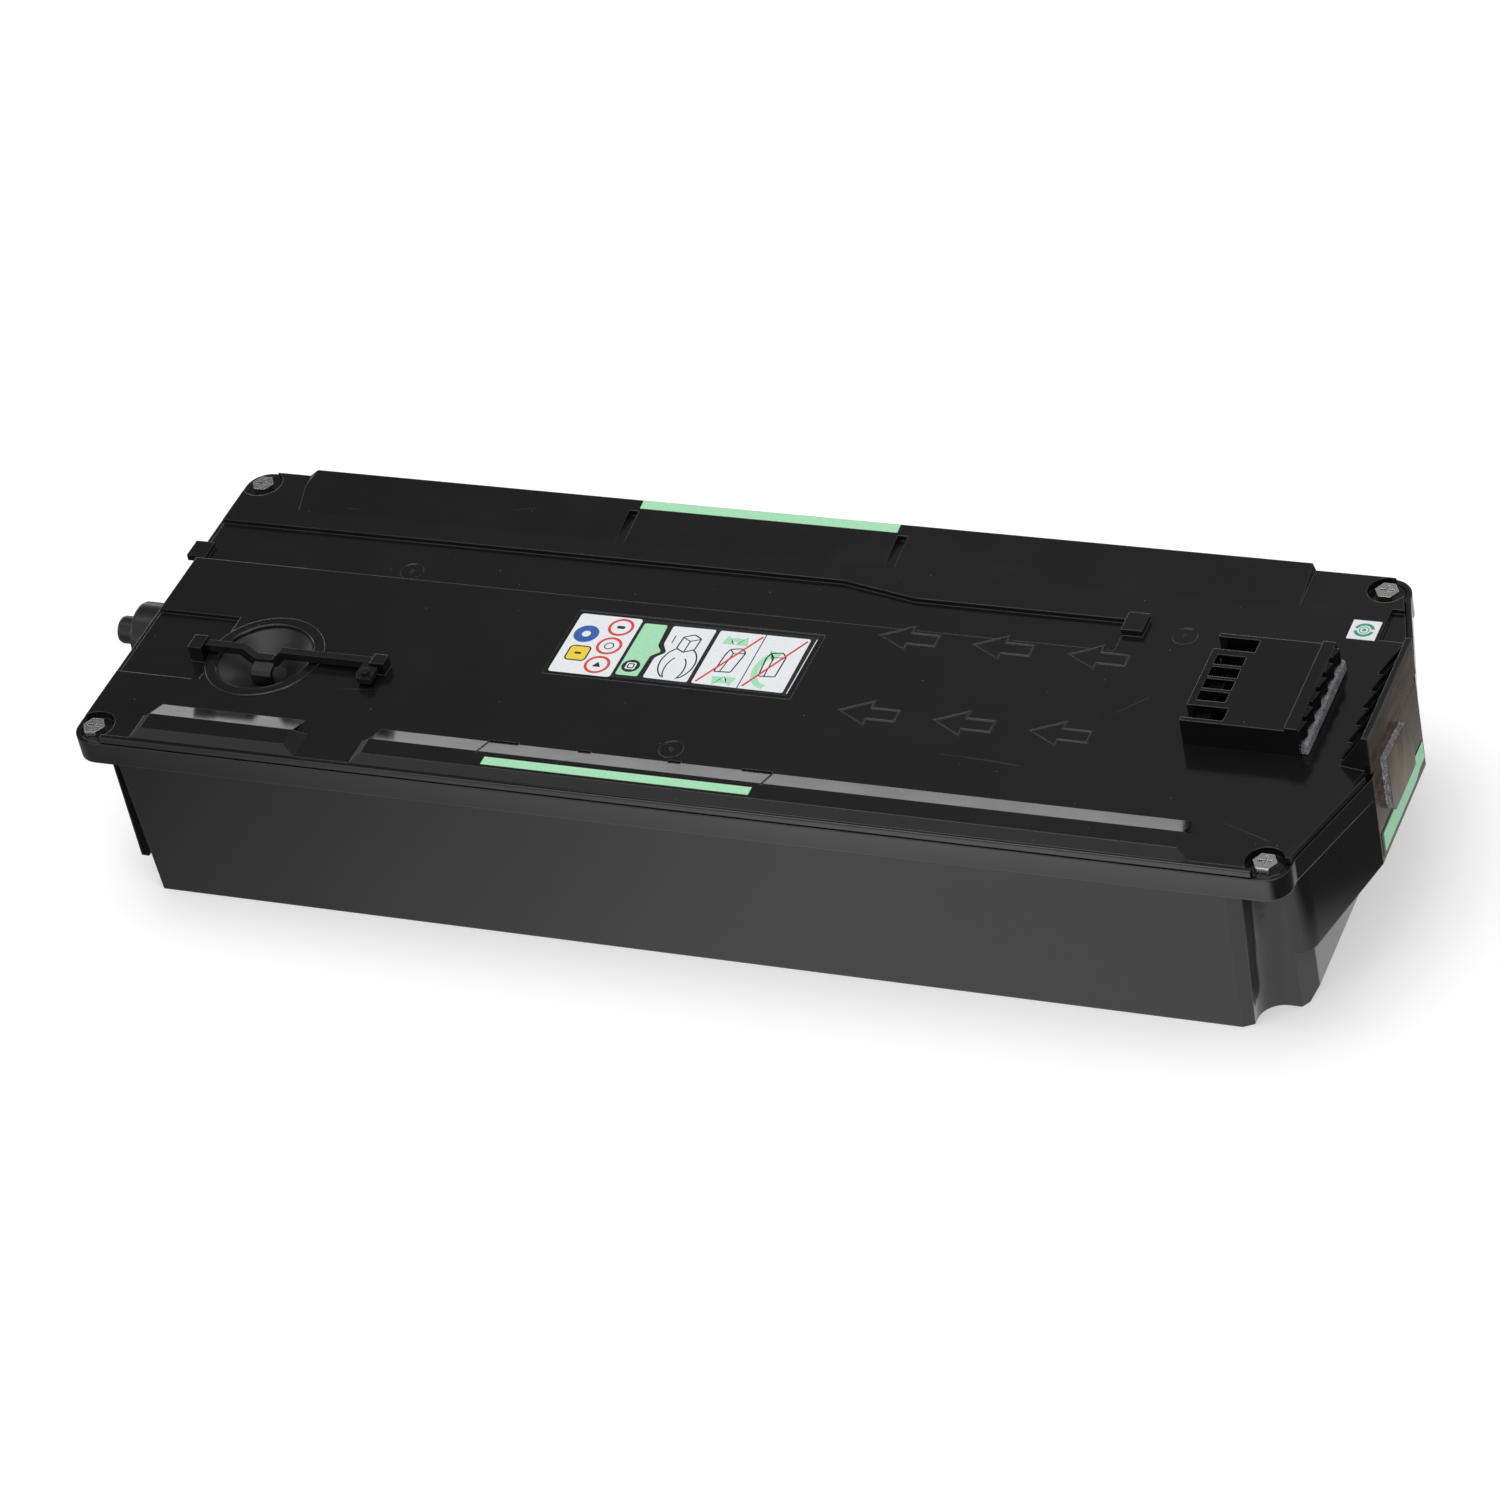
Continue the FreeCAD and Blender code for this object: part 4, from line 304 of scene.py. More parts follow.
# Polyurethane foam, cut: open cells give light struts and no highlight, and the dark pores are painted
# shade in the cells.
def openFoam(name, look):
    material, tree, where = newTree(name)
    cells = addNode(tree, "TexVoronoi", {"Scale": 1 / (look["cellMm"] * mm)}, {"Vector": where})
    pores = spread(tree, cells.outputs["Distance"], 0.15, 0.62)
    tone = addNode(tree, "TexNoise", {"Scale": 1 / (look["toneMm"] * mm), "Detail": 4},
                   {"Vector": where})
    grey = blendColour(tree, spread(tree, tone.outputs["Fac"], 0.36, 0.64), look["shade"], look["strut"])
    # The pore colour is painted shade inside the open cells.
    colour = blendColour(tree, times(tree, pores, 0.75), grey, look["poreShade"])
    relief = addNode(tree, "Bump", {"Strength": 0.9, "Distance": look["poreDeep"] * mm,
                                    "invert": True}, {"Height": pores})
    shader = addNode(tree, "BsdfPrincipled", {"Roughness": 0.95, "IOR": 1.45}, {
        "Base Color": colour, "Normal": relief.outputs[0]})
    closeTree(tree, shader)
    return material


# Real cells are 0.4 mm across, drawn at 0.7 mm so that they show.
# The pore colour is painted shade in the cells.
foamLook = {"strut": "#cbc9cf", "shade": "#9b99a0", "poreShade": "#5f5d64", "cellMm": 0.7,
            "toneMm": 2.2, "poreDeep": 0.25}
foam = openFoam("polyurethane foam cut", foamLook)


# Polyester film, calendered: glossy smoky amber skin with faint drawing streaks.
def drawnFilm(name, look):
    material, tree, where = newTree(name)
    stretch = addNode(tree, "Mapping", {"Scale": (1, 1, 0.16)}, {"Vector": where})
    streak = addNode(tree, "TexNoise", {"Scale": 1 / (look["streakMm"] * mm), "Detail": 5},
                     {"Vector": stretch.outputs[0]})
    colour = blendColour(tree, spread(tree, streak.outputs["Fac"], 0.32, 0.7), look["dark"], look["light"])
    relief = addNode(tree, "Bump", {"Strength": 1.0, "Distance": look["streakDeep"] * mm},
                     {"Height": streak.outputs["Fac"]})
    shader = addNode(tree, "BsdfPrincipled", {"Roughness": 0.12, "IOR": 1.57, "Coat Weight": 0.3,
                                              "Coat Roughness": 0.08}, {
        "Base Color": colour, "Normal": relief.outputs[0]})
    closeTree(tree, shader)
    return material


filmLook = {"dark": "#3d3424", "light": "#6f6346", "streakMm": 3.5, "streakDeep": 0.02}
film = drawnFilm("polyester film calendered", filmLook)


# Printed label stock: even ink with the faint tooth of the stock, satin over-laminate.
def printedStock(name, look):
    material, tree, where = newTree(name)
    tooth = addNode(tree, "TexNoise", {"Scale": 1 / (look["toothMm"] * mm), "Detail": 3},
                    {"Vector": where})
    colour = blendColour(tree, spread(tree, tooth.outputs["Fac"], 0.35, 0.65), look["ink"], look["thin"])
    gloss = spread(tree, tooth.outputs["Fac"], 0.3, 0.7, look["rough"] - 0.04, look["rough"] + 0.06)
    relief = addNode(tree, "Bump", {"Strength": 1.0, "Distance": 0.002 * mm},
                     {"Height": tooth.outputs["Fac"]})
    shader = addNode(tree, "BsdfPrincipled", {"IOR": 1.5}, {
        "Base Color": colour, "Roughness": gloss, "Normal": relief.outputs[0]})
    closeTree(tree, shader)
    return material


inkLooks = {
    "white": {"ink": "#e9ebee", "thin": "#e2e5e8", "toothMm": 0.8, "rough": 0.42},
    "green": {"ink": "#a9e2b9", "thin": "#9fdab0", "toothMm": 0.8, "rough": 0.42},
    "leaf": {"ink": "#2f9573", "thin": "#3aa07d", "toothMm": 0.8, "rough": 0.42},
    "blue": {"ink": "#2556a4", "thin": "#2d60ae", "toothMm": 0.8, "rough": 0.42},
    "red": {"ink": "#d23b3a", "thin": "#d84847", "toothMm": 0.8, "rough": 0.42},
    "yellow": {"ink": "#f0d23c", "thin": "#ecca30", "toothMm": 0.8, "rough": 0.42},
    "black": {"ink": "#1c1c1e", "thin": "#232325", "toothMm": 0.8, "rough": 0.30},
    "key": {"ink": "#17171a", "thin": "#202024", "toothMm": 0.8, "rough": 0.42},
}
inks = {name: printedStock(f"label stock printed {name}", look) for name, look in inkLooks.items()}

dressed = {
    "lower_tub": tubPlastic, "hanging_tongue": tubPlastic, "top_cover": coverPlastic,
    "inlet_hood": hoodPlastic, "diaphragm_ring": coverPlastic, "cover_screws": zincSteel,
    "feeler_lever": leverPlastic, "drive_coupling": couplingPlastic, "auger_shaft": acetal,
    "shaft_bush": acetal, "end_bush": acetal, "shaft_seal": nitrile, "diaphragm": nitrile,
    "cover_gasket": foam, "inlet_foam": foam, "end_pad_foam": foam, "end_pad_film": film,
    "end_strip_label": inks["black"], "front_strip_label": inks["green"],
    "rear_strip_label": inks["green"], "instruction_label": inks["black"],
    "small_label": inks["white"],
}
for nodeName, material in dressed.items():
    node = nodes[nodeName]
    if not node.material_slots:
        node.data.materials.append(material)
    for place in node.material_slots:
        place.material = material
print("CAD nodes dressed:", len(dressed))


# Corners of the quads between neighbours on a grid whose columns close into rings. The rows
# close too where wrapRows says so.
def gridQuads(rows, cols, wrapRows):
    i, j = np.meshgrid(np.arange(rows if wrapRows else rows - 1), np.arange(cols), indexing="ij")
    down, across = (i + 1) % rows, (j + 1) % cols
    corners = [i * cols + j, i * cols + across, down * cols + across, down * cols + j]
    return np.stack(corners, -1).reshape(-1, 4)


# Joins grids of points (rows, columns, 3), each with its material number, into one closed mesh.
def makePiece(name, grids, materials, smoothDeg=None):
    points, quads, paint, count = [], [], [], 0
    for grid, number, wrapRows in grids:
        faces = gridQuads(*grid.shape[:2], wrapRows) + count
        points.append(grid.reshape(-1, 3))
        quads.append(faces)
        paint.append(np.full(len(faces), number, dtype=np.int32))
        count += points[-1].shape[0]
    mesh = bpy.data.meshes.new(name)
    mesh.from_pydata(np.concatenate(points).tolist(), [], np.concatenate(quads).tolist())
    for material in materials:
        mesh.materials.append(material)
    mesh.polygons.foreach_set("material_index", np.concatenate(paint))
    solid = bmesh.new()
    solid.from_mesh(mesh)
    bmesh.ops.remove_doubles(solid, verts=solid.verts, dist=1e-7)
    bmesh.ops.dissolve_degenerate(solid, edges=solid.edges, dist=1e-8)
    bmesh.ops.recalc_face_normals(solid, faces=solid.faces)
    solid.to_mesh(mesh)
    solid.free()
    if smoothDeg:
        mesh.shade_smooth()
        mesh.set_sharp_from_angle(angle=math.radians(smoothDeg))
    piece = bpy.data.objects.new(name, mesh)
    bpy.context.scene.collection.objects.link(piece)
    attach(piece, "bottle")
    return piece


# Outline of a circle: P(t) = centre + radius (cos t, sin t).
def roundOutline(centre, radius, count=48):
    t = np.linspace(0, 2 * np.pi, count, endpoint=False)
    return np.asarray(centre) + radius * np.stack([np.cos(t), np.sin(t)], -1)


# Outline of a box with round corners: the corner in the direction t, plus radius (cos t, sin t).
def boxOutline(low, high, radius, count=40):
    low, high = np.asarray(low, float), np.asarray(high, float)
    t = np.linspace(0, 2 * np.pi, count, endpoint=False) + np.pi / count
    ray = np.stack([np.cos(t), np.sin(t)], -1)
    return (low + high) / 2 + np.sign(ray) * ((high - low) / 2 - radius) + radius * ray


# Outline of a polygon whose corners are eased: each corner c becomes the curve
# (1-s)^2 a + 2s(1-s) c + s^2 b between points a and b at the given distance along its sides.
def easedOutline(corners, radius, count=5):
    corners = np.asarray(corners, float)
    before, after = np.roll(corners, 1, 0) - corners, np.roll(corners, -1, 0) - corners
    starts = corners + before * (radius / np.linalg.norm(before, axis=1))[:, None]
    ends = corners + after * (radius / np.linalg.norm(after, axis=1))[:, None]
    s = np.linspace(0, 1, count)[None, :, None]
    curve = (1 - s) ** 2 * starts[:, None] + 2 * s * (1 - s) * corners[:, None] + s ** 2 * ends[:, None]
    return curve.reshape(-1, 2)


# Ink field: P(u, v) = middle + v (outline(u) - middle), v = 0, 1 on top and 1, 0 underneath.
def inkField(outline, low, high, middle=None):
    middle = outline.mean(0) if middle is None else np.asarray(middle, float)
    v = np.array([0, 1, 1, 0.0])[:, None, None]
    flat = middle + v * (outline - middle)
    level = np.broadcast_to(np.array([high, high, low, low])[:, None, None], (4, len(outline), 1))
    return np.concatenate([flat, level], -1)


# Ink line: a box section carried along a path, half its width to each side of the path's
# own normal. The width may change along the path, so the same line also makes an arrow.
def inkLine(path, width, low, high, closed=False):
    path = np.asarray(path, float)
    if closed:
        run = np.roll(path, -1, 0) - np.roll(path, 1, 0)
    else:
        run = np.gradient(path, axis=0)
    run /= np.maximum(np.linalg.norm(run, axis=1), 1e-9)[:, None]
    side = np.stack([-run[:, 1], run[:, 0]], -1) * (np.broadcast_to(width, len(path)) / 2)[:, None]
    left, right = path + side, path - side
    corners = [(left, high), (right, high), (right, low), (left, low)]
    grid = np.stack([np.concatenate([xy, np.full((len(path), 1), z)], -1) for xy, z in corners], 1)
    if closed:
        return grid
    ends = [np.broadcast_to(grid[k].mean(0), (1, 4, 3)) for k in (0, -1)]
    return np.concatenate([ends[0], grid, ends[1]])


# Arrow along a curve: even width, then a head that starts wide and runs to a point.
def arrowLine(path, width, headLong, low, high, bothEnds=False):
    path = np.asarray(path, float)
    steps = np.concatenate([[0], np.cumsum(np.linalg.norm(np.diff(path, axis=0), axis=1))])
    total = steps[-1]
    marks = np.linspace(headLong if bothEnds else 0, total - headLong, 14)
    marks = np.concatenate([marks, [total - headLong * 0.999, total]])
    widths = np.concatenate([np.full(14, width), [width * 2.7, width * 0.05]])
    if bothEnds:
        marks = np.concatenate([[0, headLong * 0.999], marks])
        widths = np.concatenate([[width * 0.05, width * 2.7], widths])
    curve = np.stack([np.interp(marks, steps, path[:, k]) for k in (0, 1)], -1)
    return inkLine(curve, widths, low, high)


def arc(centre, radii, fromDeg, toDeg, count=24):
    t = np.radians(np.linspace(fromDeg, toDeg, count))
    return np.asarray(centre) + np.stack([radii[0] * np.cos(t), radii[1] * np.sin(t)], -1)


# Instruction label, printed with plain fields, rings and box drawings in place of the text
# and signs. Lengths in mm from the label's front left corner.
labelPrint = {"origin": (-58.0, -15.0), "top": 66.90, "ink": 0.02}


def makeInstructionPrint(look):
    order = ["white", "green", "blue", "red", "yellow", "key"]
    layer = [look["top"] - 0.01, look["top"] + look["ink"], look["top"] + 2 * look["ink"],
             look["top"] + 3 * look["ink"]]
    shapes = []

    def paint(colour, grid, wrap=False):
        grid = grid.copy()
        grid[..., :2] += np.asarray(look["origin"])
        shapes.append((grid * mm, order.index(colour), wrap))

    def fieldOf(colour, outline, level, middle=None):
        paint(colour, inkField(outline, layer[0], layer[level], middle))

    def lineOf(colour, path, width, level, closed=False):
        paint(colour, inkLine(path, width, layer[0], layer[level], closed), closed)

    # Left panel: a blue disc, a yellow tile and three red rings round plain marks.
    fieldOf("white", easedOutline([(0, 0), (22, 0), (22, 30), (0, 30)], 1.3), 1)
    fieldOf("blue", roundOutline((5.6, 20.0), 4.3), 2)
    fieldOf("white", roundOutline((5.6, 20.0), 1.5, 32), 3)
    fieldOf("yellow", boxOutline((3.0, 6.6), (10.2, 13.8), 1.4), 2)
    lineOf("key", boxOutline((3.0, 6.6), (10.2, 13.8), 1.4), 0.5, 3, True)
    fieldOf("key", boxOutline((5.4, 9.7), (7.8, 10.7), 0.4), 3)
    for x, y in ((16.0, 24.9), (15.7, 15.2), (15.4, 5.5)):
        lineOf("red", roundOutline((x, y), 3.9), 1.0, 2, True)
    fieldOf("key", boxOutline((14.6, 24.2), (17.4, 25.6), 0.5), 2)
    lineOf("key", roundOutline((15.7, 15.2), 1.5, 32), 0.4, 2, True)
    fieldOf("key", easedOutline([(13.9, 4.4), (16.9, 4.4), (15.4, 6.9)], 0.4), 2)

    # Green panel with a pointer, and a black disc with a square in it.
    fieldOf("green", easedOutline([(23.2, 1.8), (31.0, 1.8), (31.4, 12.5), (34.2, 15.0), (31.9, 17.9),
                                   (31.3, 28.3), (23.2, 28.2)], 0.9), 1, (27.5, 15))
    fieldOf("key", roundOutline((26.9, 6.6), 3.1), 2)
    fieldOf("white", boxOutline((25.2, 4.9), (28.6, 8.3), 0.7), 3)
    lineOf("key", boxOutline((25.9, 5.6), (27.9, 7.6), 0.4), 0.45, 3, True)

    # Panel with a box held between two curved strokes.
    fieldOf("white", easedOutline([(33.0, 1.7), (48.5, 1.5), (48.5, 28.5), (33.4, 28.3), (33.6, 18.9),
                                   (36.0, 15.0), (33.1, 11.9)], 0.9), 1, (41.5, 15))
    lineOf("key", easedOutline([(38.6, 17.6), (41.6, 15.8), (44.9, 17.8), (45.2, 23.2), (42.4, 25.0),
                                (39.0, 23.4)], 0.5), 0.48, 2, True)
    lineOf("key", [(38.9, 23.2), (41.9, 21.6), (45.0, 23.0)], 0.42, 2)
    lineOf("key", [(41.9, 21.6), (41.7, 16.2)], 0.42, 2)
    for turn in (-1, 1):
        lineOf("key", arc((41.8, 10.2), (6.0 * turn, 8.2), 62, -62, 20), 0.5, 2)
        lineOf("key", arc((41.8, 7.4), (3.4 * turn, 6.2), 60, -50, 20), 0.46, 2)
    for k in range(3):
        lineOf("key", arc((37.0, 20.5 + k * 1.2), (1.0, 1.6), 150, 210, 6), 0.36, 2)

    # Two panels with a box, green arrows and a red line across.
    fieldOf("white", easedOutline([(50.0, 1.5), (81.8, 1.3), (81.6, 28.6), (50.0, 28.5)], 0.9), 1)
    lineOf("key", [(66.0, 1.5), (66.0, 28.5)], 0.35, 2)
    for left, lean in ((55.4, 0.9), (70.8, -0.4)):
        outline = [(left, 8.2), (left + 5.6, 8.6), (left + 6.2 + lean, 18.6), (left + 4.4 + lean, 20.6),
                   (left + 0.6 + lean, 19.8), (left - 0.2 + lean, 17.4)]
        lineOf("key", easedOutline(outline, 0.6), 0.48, 2, True)
        lineOf("key", [(left + 1.9, 8.4), (left + 2.2 + lean, 17.8), (left + 6.0 + lean, 18.4)], 0.42, 2)
        lineOf("key", [(left + 2.2 + lean, 17.8), (left + 0.7 + lean, 19.6)], 0.42, 2)
    paint("green", arrowLine(arc((57.2, 13.0), (7.2, 11.6), 128, 52), 2.0, 3.4, layer[0], layer[2], True))
    paint("green", arrowLine(arc((59.8, 13.4), (6.6, 9.6), 232, 310), 2.0, 3.4, layer[0], layer[2], True))
    paint("green", arrowLine(arc((74.6, 11.6), (5.8, 8.4), 268, 88), 2.2, 3.8, layer[0], layer[2]))
    lineOf("red", [(51.2, 2.5), (65.2, 27.3)], 0.75, 3)
    lineOf("red", [(67.3, 2.6), (80.8, 27.4)], 0.75, 3)
    lineOf("white", [(83.3, 1.2), (83.5, 28.8)], 0.3, 1)
    return makePiece("instruction_print", shapes, [inks[c] for c in order])


makeInstructionPrint(labelPrint)


# Small square label: a ring in two halves round a dot.
smallPrint = {"centre": (198.6, 45.0), "top": 67.15, "ink": 0.02}


def makeSmallPrint(look):
    low, high = look["top"] - 0.01, look["top"] + look["ink"]
    centre = np.asarray(look["centre"])
    shapes = []
    for start in (12, 192):
        half = arc(centre, (2.75, 2.75), start, start + 156)
        shapes.append((inkLine(half, 1.1, low, high) * mm, 0, False))
    shapes.append((inkLine(roundOutline(centre, 1.5, 36), 0.35, low, high, True) * mm, 0, True))
    shapes.append((inkField(roundOutline(centre, 0.7, 24), low, high) * mm, 0, False))
    return makePiece("small_print", shapes, [inks["leaf"]])


makeSmallPrint(smallPrint)


# Green field on the end strip, standing on its black ground.
endPrint = {"face": 220.15, "ink": 0.03}


def makeEndPrint(look):
    corners = [(-17.7, 32.6), (16.5, 32.6), (21.5, 34.0), (25.9, 34.0), (25.9, 40.9), (15.6, 40.9),
               (13.4, 39.9), (-17.7, 39.9)]
    grid = inkField(easedOutline(corners, 0.35), look["face"] - 0.01, look["face"] + look["ink"])
    grid = grid[..., [2, 0, 1]]
    return makePiece("end_print", [(grid * mm, 0, False)], [inks["green"]])


makeEndPrint(endPrint)
print("printed fields made")


# Slow random relief: a grid of seeded values, smoothed by averaging with its neighbours.
def roughField(shape, seed, passes):
    field = np.random.default_rng(seed).normal(size=shape)
    for _ in range(passes):
        field = (field * 2 + np.roll(field, 1, 0) + np.roll(field, -1, 0)
                 + np.roll(field, 1, 1) + np.roll(field, -1, 1)) / 6
    return field / np.abs(field).max()


# Foam strip under the comb: a five-sided section carried along Y, its skin broken by cells.
inletFoam = {"x": (196.6, 198.9), "y": (-16.2, 25.0), "z": (67.0, 71.4), "deep": 0.28, "step": 0.42}


def makeInletFoam(look):
    west, east = look["x"]
    low, high = look["z"]
    corners = np.array([(west, low), (east, low), (east, low + 0.8 * (high - low)),
                        (west + 0.8 * (east - west), high), (west, high)])
    sides = np.linalg.norm(np.roll(corners, -1, 0) - corners, axis=1)
    marks = np.concatenate([[0], np.cumsum(sides)])
    around = np.linspace(0, marks[-1], int(marks[-1] / look["step"]), endpoint=False)
    loop = np.vstack([corners, corners[:1]])
    section = np.stack([np.interp(around, marks, loop[:, k]) for k in (0, 1)], -1)
    middle = section.mean(0)
    along = np.linspace(*look["y"], int((look["y"][1] - look["y"][0]) / look["step"]))
    relief = roughField((len(along), len(around)), 11, 1)
    inward = (middle - section) / np.linalg.norm(middle - section, axis=1)[:, None]
    bite = look["deep"] * (0.5 + 0.5 * relief)[..., None]
    ring = section[None] + inward[None] * bite
    grid = np.stack([ring[..., 0], np.broadcast_to(along[:, None], ring.shape[:2]), ring[..., 1]], -1)
    caps = [np.broadcast_to(grid[k].mean(0), (1,) + grid.shape[1:]) for k in (0, -1)]
    piece = makePiece("inlet_foam_strip", [(np.concatenate([caps[0], grid, caps[1]]) * mm, 0, False)],
                      [foam], smoothDeg=60)
    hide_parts("inlet_foam")
    return piece


makeInletFoam(inletFoam)

# Foam pad on the end wall: its outline in (Y, Z), carried outwards with a rough cut edge.
endFoam = {"x": (220.0, 222.1), "deep": 0.3, "step": 0.45, "pad": (-12.0, 12.0, 65.2, 22.0, 4.0)}


def makeEndFoam(look):
    front, rear, high, tall, bevel = look["pad"]
    low = high - tall
    corners = np.array([(front, high), (rear - bevel, high - bevel / 2), (rear, high - bevel * 1.6),
                        (rear, low), (front + bevel / 2, low), (front, low + bevel)])
    marks = np.concatenate([[0], np.cumsum(np.linalg.norm(np.roll(corners, -1, 0) - corners, axis=1))])
    around = np.linspace(0, marks[-1], int(marks[-1] / look["step"]), endpoint=False)
    loop = np.vstack([corners, corners[:1]])
    outline = np.stack([np.interp(around, marks, loop[:, k]) for k in (0, 1)], -1)
    middle = outline.mean(0)
    across = np.linspace(*look["x"], 7)
    relief = roughField((len(across), len(around)), 23, 1)
    relief[0] = relief[-1] = -1
    inward = (middle - outline) / np.linalg.norm(middle - outline, axis=1)[:, None]
    ring = outline[None] + inward[None] * (look["deep"] * (0.5 + 0.5 * relief))[..., None]
    grid = np.concatenate([np.broadcast_to(across[:, None, None], ring.shape[:2] + (1,)), ring], -1)
    caps = [np.broadcast_to(grid[k].mean(0), (1,) + grid.shape[1:]) for k in (0, -1)]
    piece = makePiece("end_pad_sponge", [(np.concatenate([caps[0], grid, caps[1]]) * mm, 0, False)],
                      [foam], smoothDeg=50)
    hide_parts("end_pad_foam")
    return piece


makeEndFoam(endFoam)
print("foam made")


# Edge of the cover that laps over the rim: a box section with an eased upper corner, carried
# along the front and the right shoulder. P(s, k) = path(s) + out(k) normal(s), height(k).
coverEdge = {"low": 64.75, "top": 66.995, "ease": 0.45,
             "runs": [([(-195.4, -69.72), (-60, -69.72), (70, -69.72), (197.0, -69.72)], 1.86),
                      ([(205.42, -63.2), (205.42, -60.68), (211.0, -42.82), (217.2, -22.98)], 1.66)]}


def makeCoverEdge(look):
    low, top, ease = look["low"], look["top"], look["ease"]
    grids = []
    for path, wide in look["runs"]:
        path = np.asarray(path, float)
        step = np.diff(path, axis=0)
        step /= np.linalg.norm(step, axis=1)[:, None]
        before, after = np.vstack([step[:1], step]), np.vstack([step, step[-1:]])
        along = before + after
        along *= 2 / (along * along).sum(1)[:, None]
        normal = np.stack([along[:, 1], -along[:, 0]], -1)
        turn = np.radians([0, 22.5, 45, 67.5, 90])
        out = np.concatenate([[0, wide], wide - ease + ease * np.cos(turn), [0]])
        height = np.concatenate([[low, low], top - ease + ease * np.sin(turn), [top]])
        flat = path[:, None] + out[None, :, None] * normal[:, None]
        grid = np.concatenate([flat, np.broadcast_to(height[None, :, None], flat.shape[:2] + (1,))], -1)
        caps = [np.broadcast_to(grid[k].mean(0), (1,) + grid.shape[1:]) for k in (0, -1)]
        grids.append((np.concatenate([caps[0], grid, caps[1]]) * mm, 0, False))
    return makePiece("cover_edge", grids, [coverPlastic], smoothDeg=40)


makeCoverEdge(coverEdge)
print("cover edge made")


# Studio: pale floor, soft lamps and the photograph's camera.
# The floor as the walls mirror it is dimmer at both ends and brighter away from the tub. Each
# sky value belongs to what shiny faces mirror: the horizon behind and in front, the sky overhead
# from left to right, and the sky in front.
studio = {"floorSize": 9.0, "floorDrop": 0.1, "floorWhite": "#e6e6e6", "floorGlow": 0.36,
          "aim": (0, 0, 0.05), "floorMirror": (-0.24, 0.26, 0.02, 1.0),
          "mirrorEnd": (0.222, 0.25, 0.1), "mirrorAway": (-0.128, -0.145, 1.55),
          "worldFill": 0.62, "skyEdge": (1.65, 1.0),
          "skyTop": (-0.52, 0.09, -0.25, 0.27), "skyFront": 0.6,
          "key": {"size": (1.2, 1.2), "watts": 12, "place": (-0.3, 0.1, 1.7)},
          "side": {"size": (0.55, 0.55), "watts": 2.6, "place": (1.05, -0.75, 0.62)}}


def makeFloor(look):
    half = look["floorSize"] / 2
    corners = np.array([(-half, -half), (half, -half), (half, half), (-half, half)])
    points = np.concatenate([corners, np.full((4, 1), -look["floorDrop"] * mm)], -1)
    mesh = bpy.data.meshes.new("floor")
    mesh.from_pydata(points.tolist(), [], [(0, 1, 2, 3)])
    floor = bpy.data.objects.new("floor", mesh)
    bpy.context.scene.collection.objects.link(floor)
    material, tree, where = newTree("studio floor painted")
    paths = addNode(tree, "LightPath").outputs
    seen = times(tree, paths["Is Camera Ray"], paths["Is Transmission Ray"], "MAXIMUM")
    glow = times(tree, seen, look["floorGlow"])
    glow = addNode(tree, "Emission", {"Color": (1, 1, 1, 1)}, {"Strength": glow})
    matt = addNode(tree, "BsdfDiffuse", {"Color": hexColour(look["floorWhite"])})
    painted = addNode(tree, "AddShader", links={0: glow.outputs[0], 1: matt.outputs[0]})
    spot = addNode(tree, "SeparateXYZ", links={0: where}).outputs
    west, dim, east, bright = look["floorMirror"]
    level = spread(tree, spot["X"], west, east, dim, bright)
    level = times(tree, level, spread(tree, spot["X"], *look["mirrorEnd"][:2], 1.0, look["mirrorEnd"][2]))
    level = times(tree, level, spread(tree, spot["Y"], *look["mirrorAway"][:2], 1.0, look["mirrorAway"][2]))
    mirror = addNode(tree, "Emission", {"Color": (1, 1, 1, 1)}, {"Strength": level})
    closeTree(tree, addNode(tree, "MixShader", links={0: paths["Is Glossy Ray"], 1: painted.outputs[0],
                                                      2: mirror.outputs[0]}))
    mesh.materials.append(material)


def makeLamp(name, look, aim):
    lamp = bpy.data.lights.new(name, "AREA")
    lamp.shape = "RECTANGLE"
    lamp.size, lamp.size_y = look["size"]
    lamp.energy = look["watts"]
    place = bpy.data.objects.new(name, lamp)
    bpy.context.scene.collection.objects.link(place)
    away = np.array(look["place"], float) - np.array(aim)
    back = away / np.linalg.norm(away)
    right = np.cross([0, 0, 1], back)
    right /= np.linalg.norm(right)
    turn = np.stack([right, np.cross(back, right), back], 1)
    place.matrix_world = Matrix(np.vstack([np.column_stack([turn, look["place"]]), [0, 0, 0, 1]]).tolist())
    place.visible_camera = False


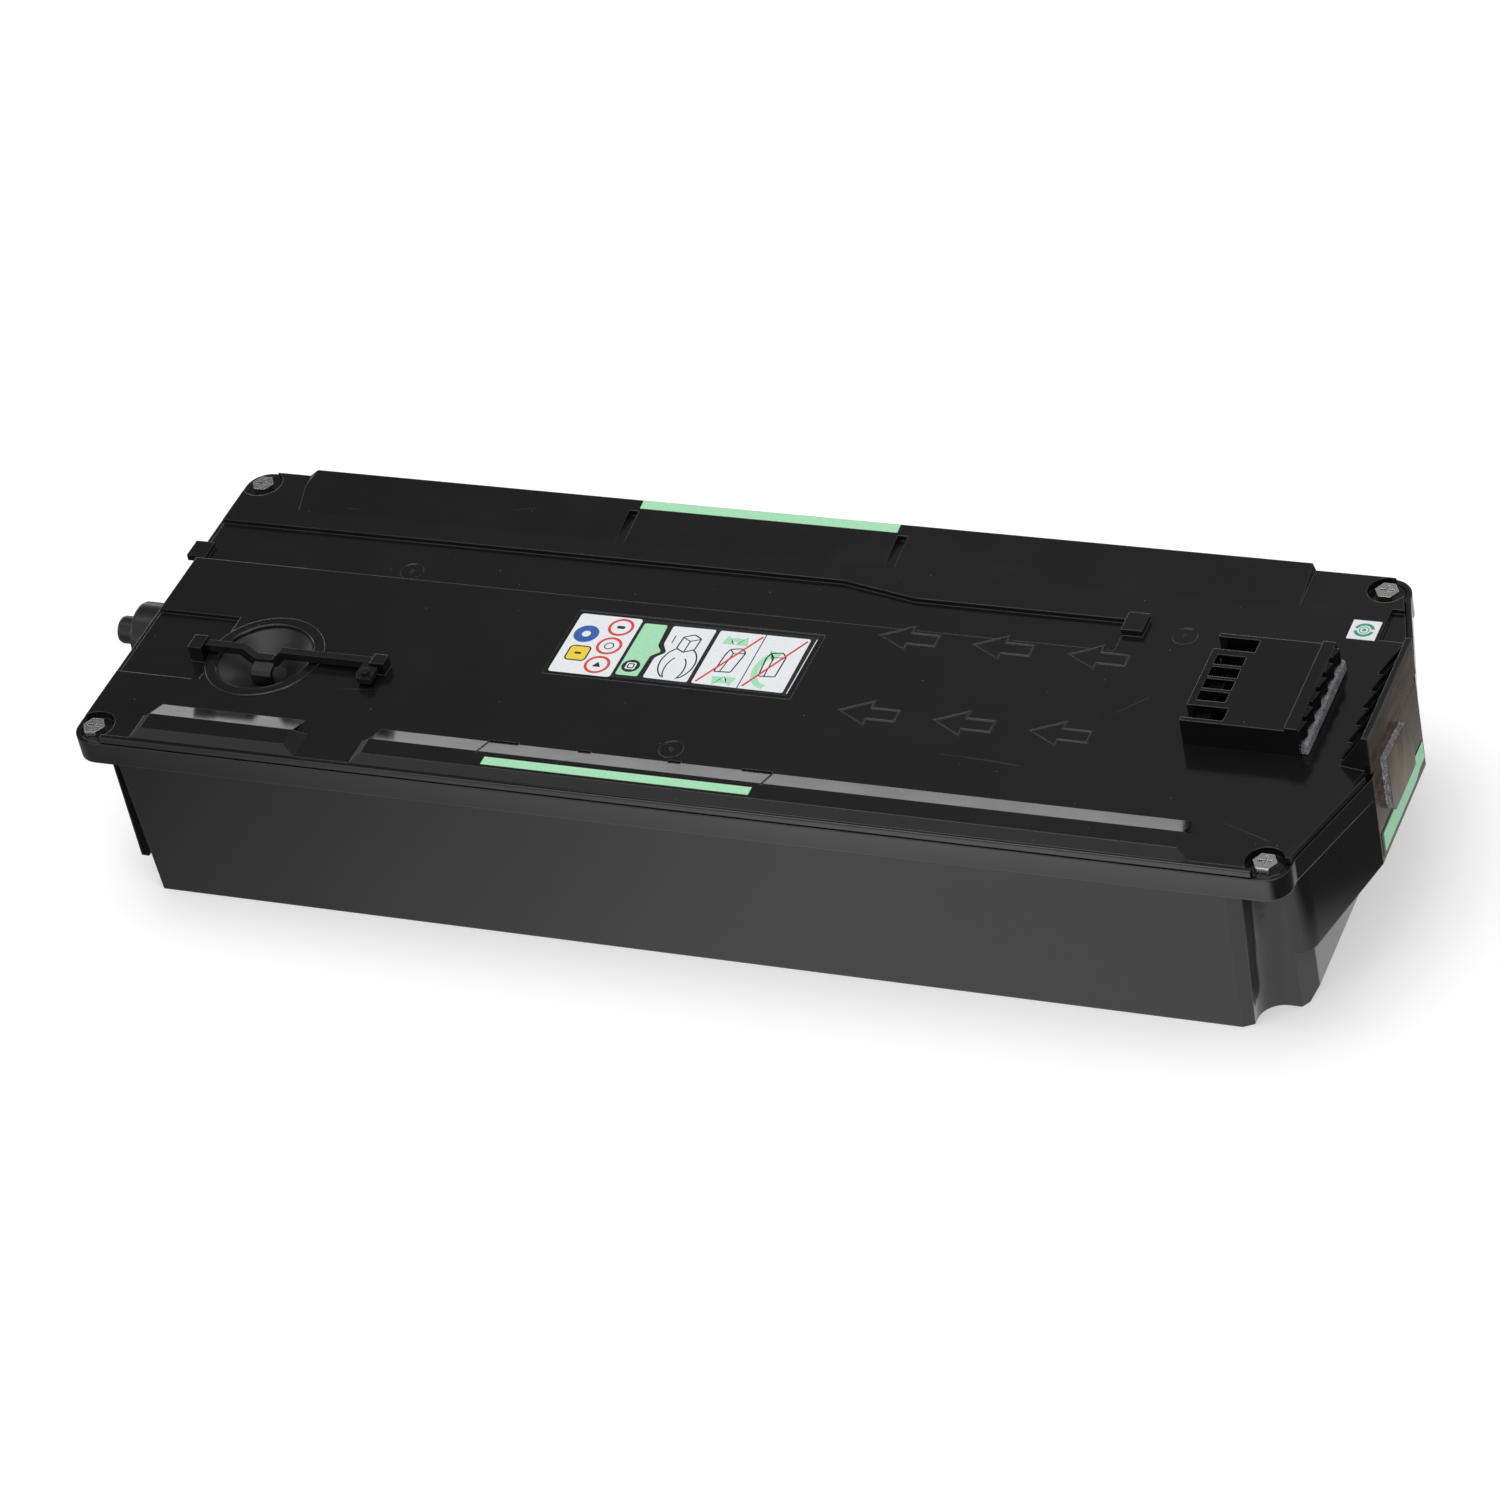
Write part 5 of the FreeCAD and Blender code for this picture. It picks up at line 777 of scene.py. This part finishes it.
def makeWorld(look):
    world = bpy.data.worlds.new("studio")
    bpy.context.scene.world = world
    world.use_nodes = True
    tree = world.node_tree
    tree.nodes.clear()
    paths = addNode(tree, "LightPath").outputs
    ray = addNode(tree, "TexCoord").outputs["Generated"]
    ways = addNode(tree, "SeparateXYZ", links={0: ray}).outputs
    overhead = spread(tree, ways["X"], *look["skyTop"][::2], *look["skyTop"][1::2])
    front = spread(tree, ways["Y"], -0.1, -0.35)
    overhead = addNode(tree, "Mix", {"data_type": "FLOAT", 3: look["skyFront"]},
                       {0: front, 2: overhead}).outputs[0]
    edge = spread(tree, front, 0.0, 1.0, *look["skyEdge"])
    low = spread(tree, ways["Z"], 0.42, 0.05)
    dark = addNode(tree, "Mix", {"data_type": "FLOAT"}, {0: low, 2: overhead, 3: edge}).outputs[0]
    seen = times(tree, paths["Is Camera Ray"], paths["Is Transmission Ray"], "MAXIMUM")
    level = addNode(tree, "Mix", {"data_type": "FLOAT", 2: look["worldFill"]},
                    {0: paths["Is Glossy Ray"], 3: dark}).outputs[0]
    level = addNode(tree, "Mix", {"data_type": "FLOAT", 3: 1.0}, {0: seen, 2: level}).outputs[0]
    shader = addNode(tree, "Background", {"Color": (1, 1, 1, 1)}, {"Strength": level})
    addNode(tree, "OutputWorld", links={"Surface": shader.outputs[0]})


# Camera solved from the four screws: rows are its right, down and forward directions.
photoView = {"lensMm": 129.741, "sensorMm": 36.0, "place": (0.671471, -1.204548, 1.114472),
             "right": (0.918213, 0.356976, -0.171621), "down": (0.10302, -0.633615, -0.766759),
             "forward": (-0.382456, 0.686367, -0.618569)}


def makeCamera(look):
    lens = bpy.data.cameras.new("camera")
    lens.lens = look["lensMm"]
    lens.sensor_width = lens.sensor_height = look["sensorMm"]
    lens.clip_start, lens.clip_end = 0.05, 60
    camera = bpy.data.objects.new("camera", lens)
    bpy.context.scene.collection.objects.link(camera)
    columns = [np.array(look["right"]), -np.array(look["down"]), -np.array(look["forward"]),
               np.array(look["place"])]
    camera.matrix_world = Matrix(np.vstack([np.column_stack(columns), [0, 0, 0, 1]]).tolist())
    bpy.context.scene.camera = camera


makeFloor(studio)
for lampName in ("key", "side"):
    makeLamp(lampName, studio[lampName], studio["aim"])
makeWorld(studio)
makeCamera(photoView)
bpy.context.scene.view_settings.view_transform = "Standard"
print("studio made")
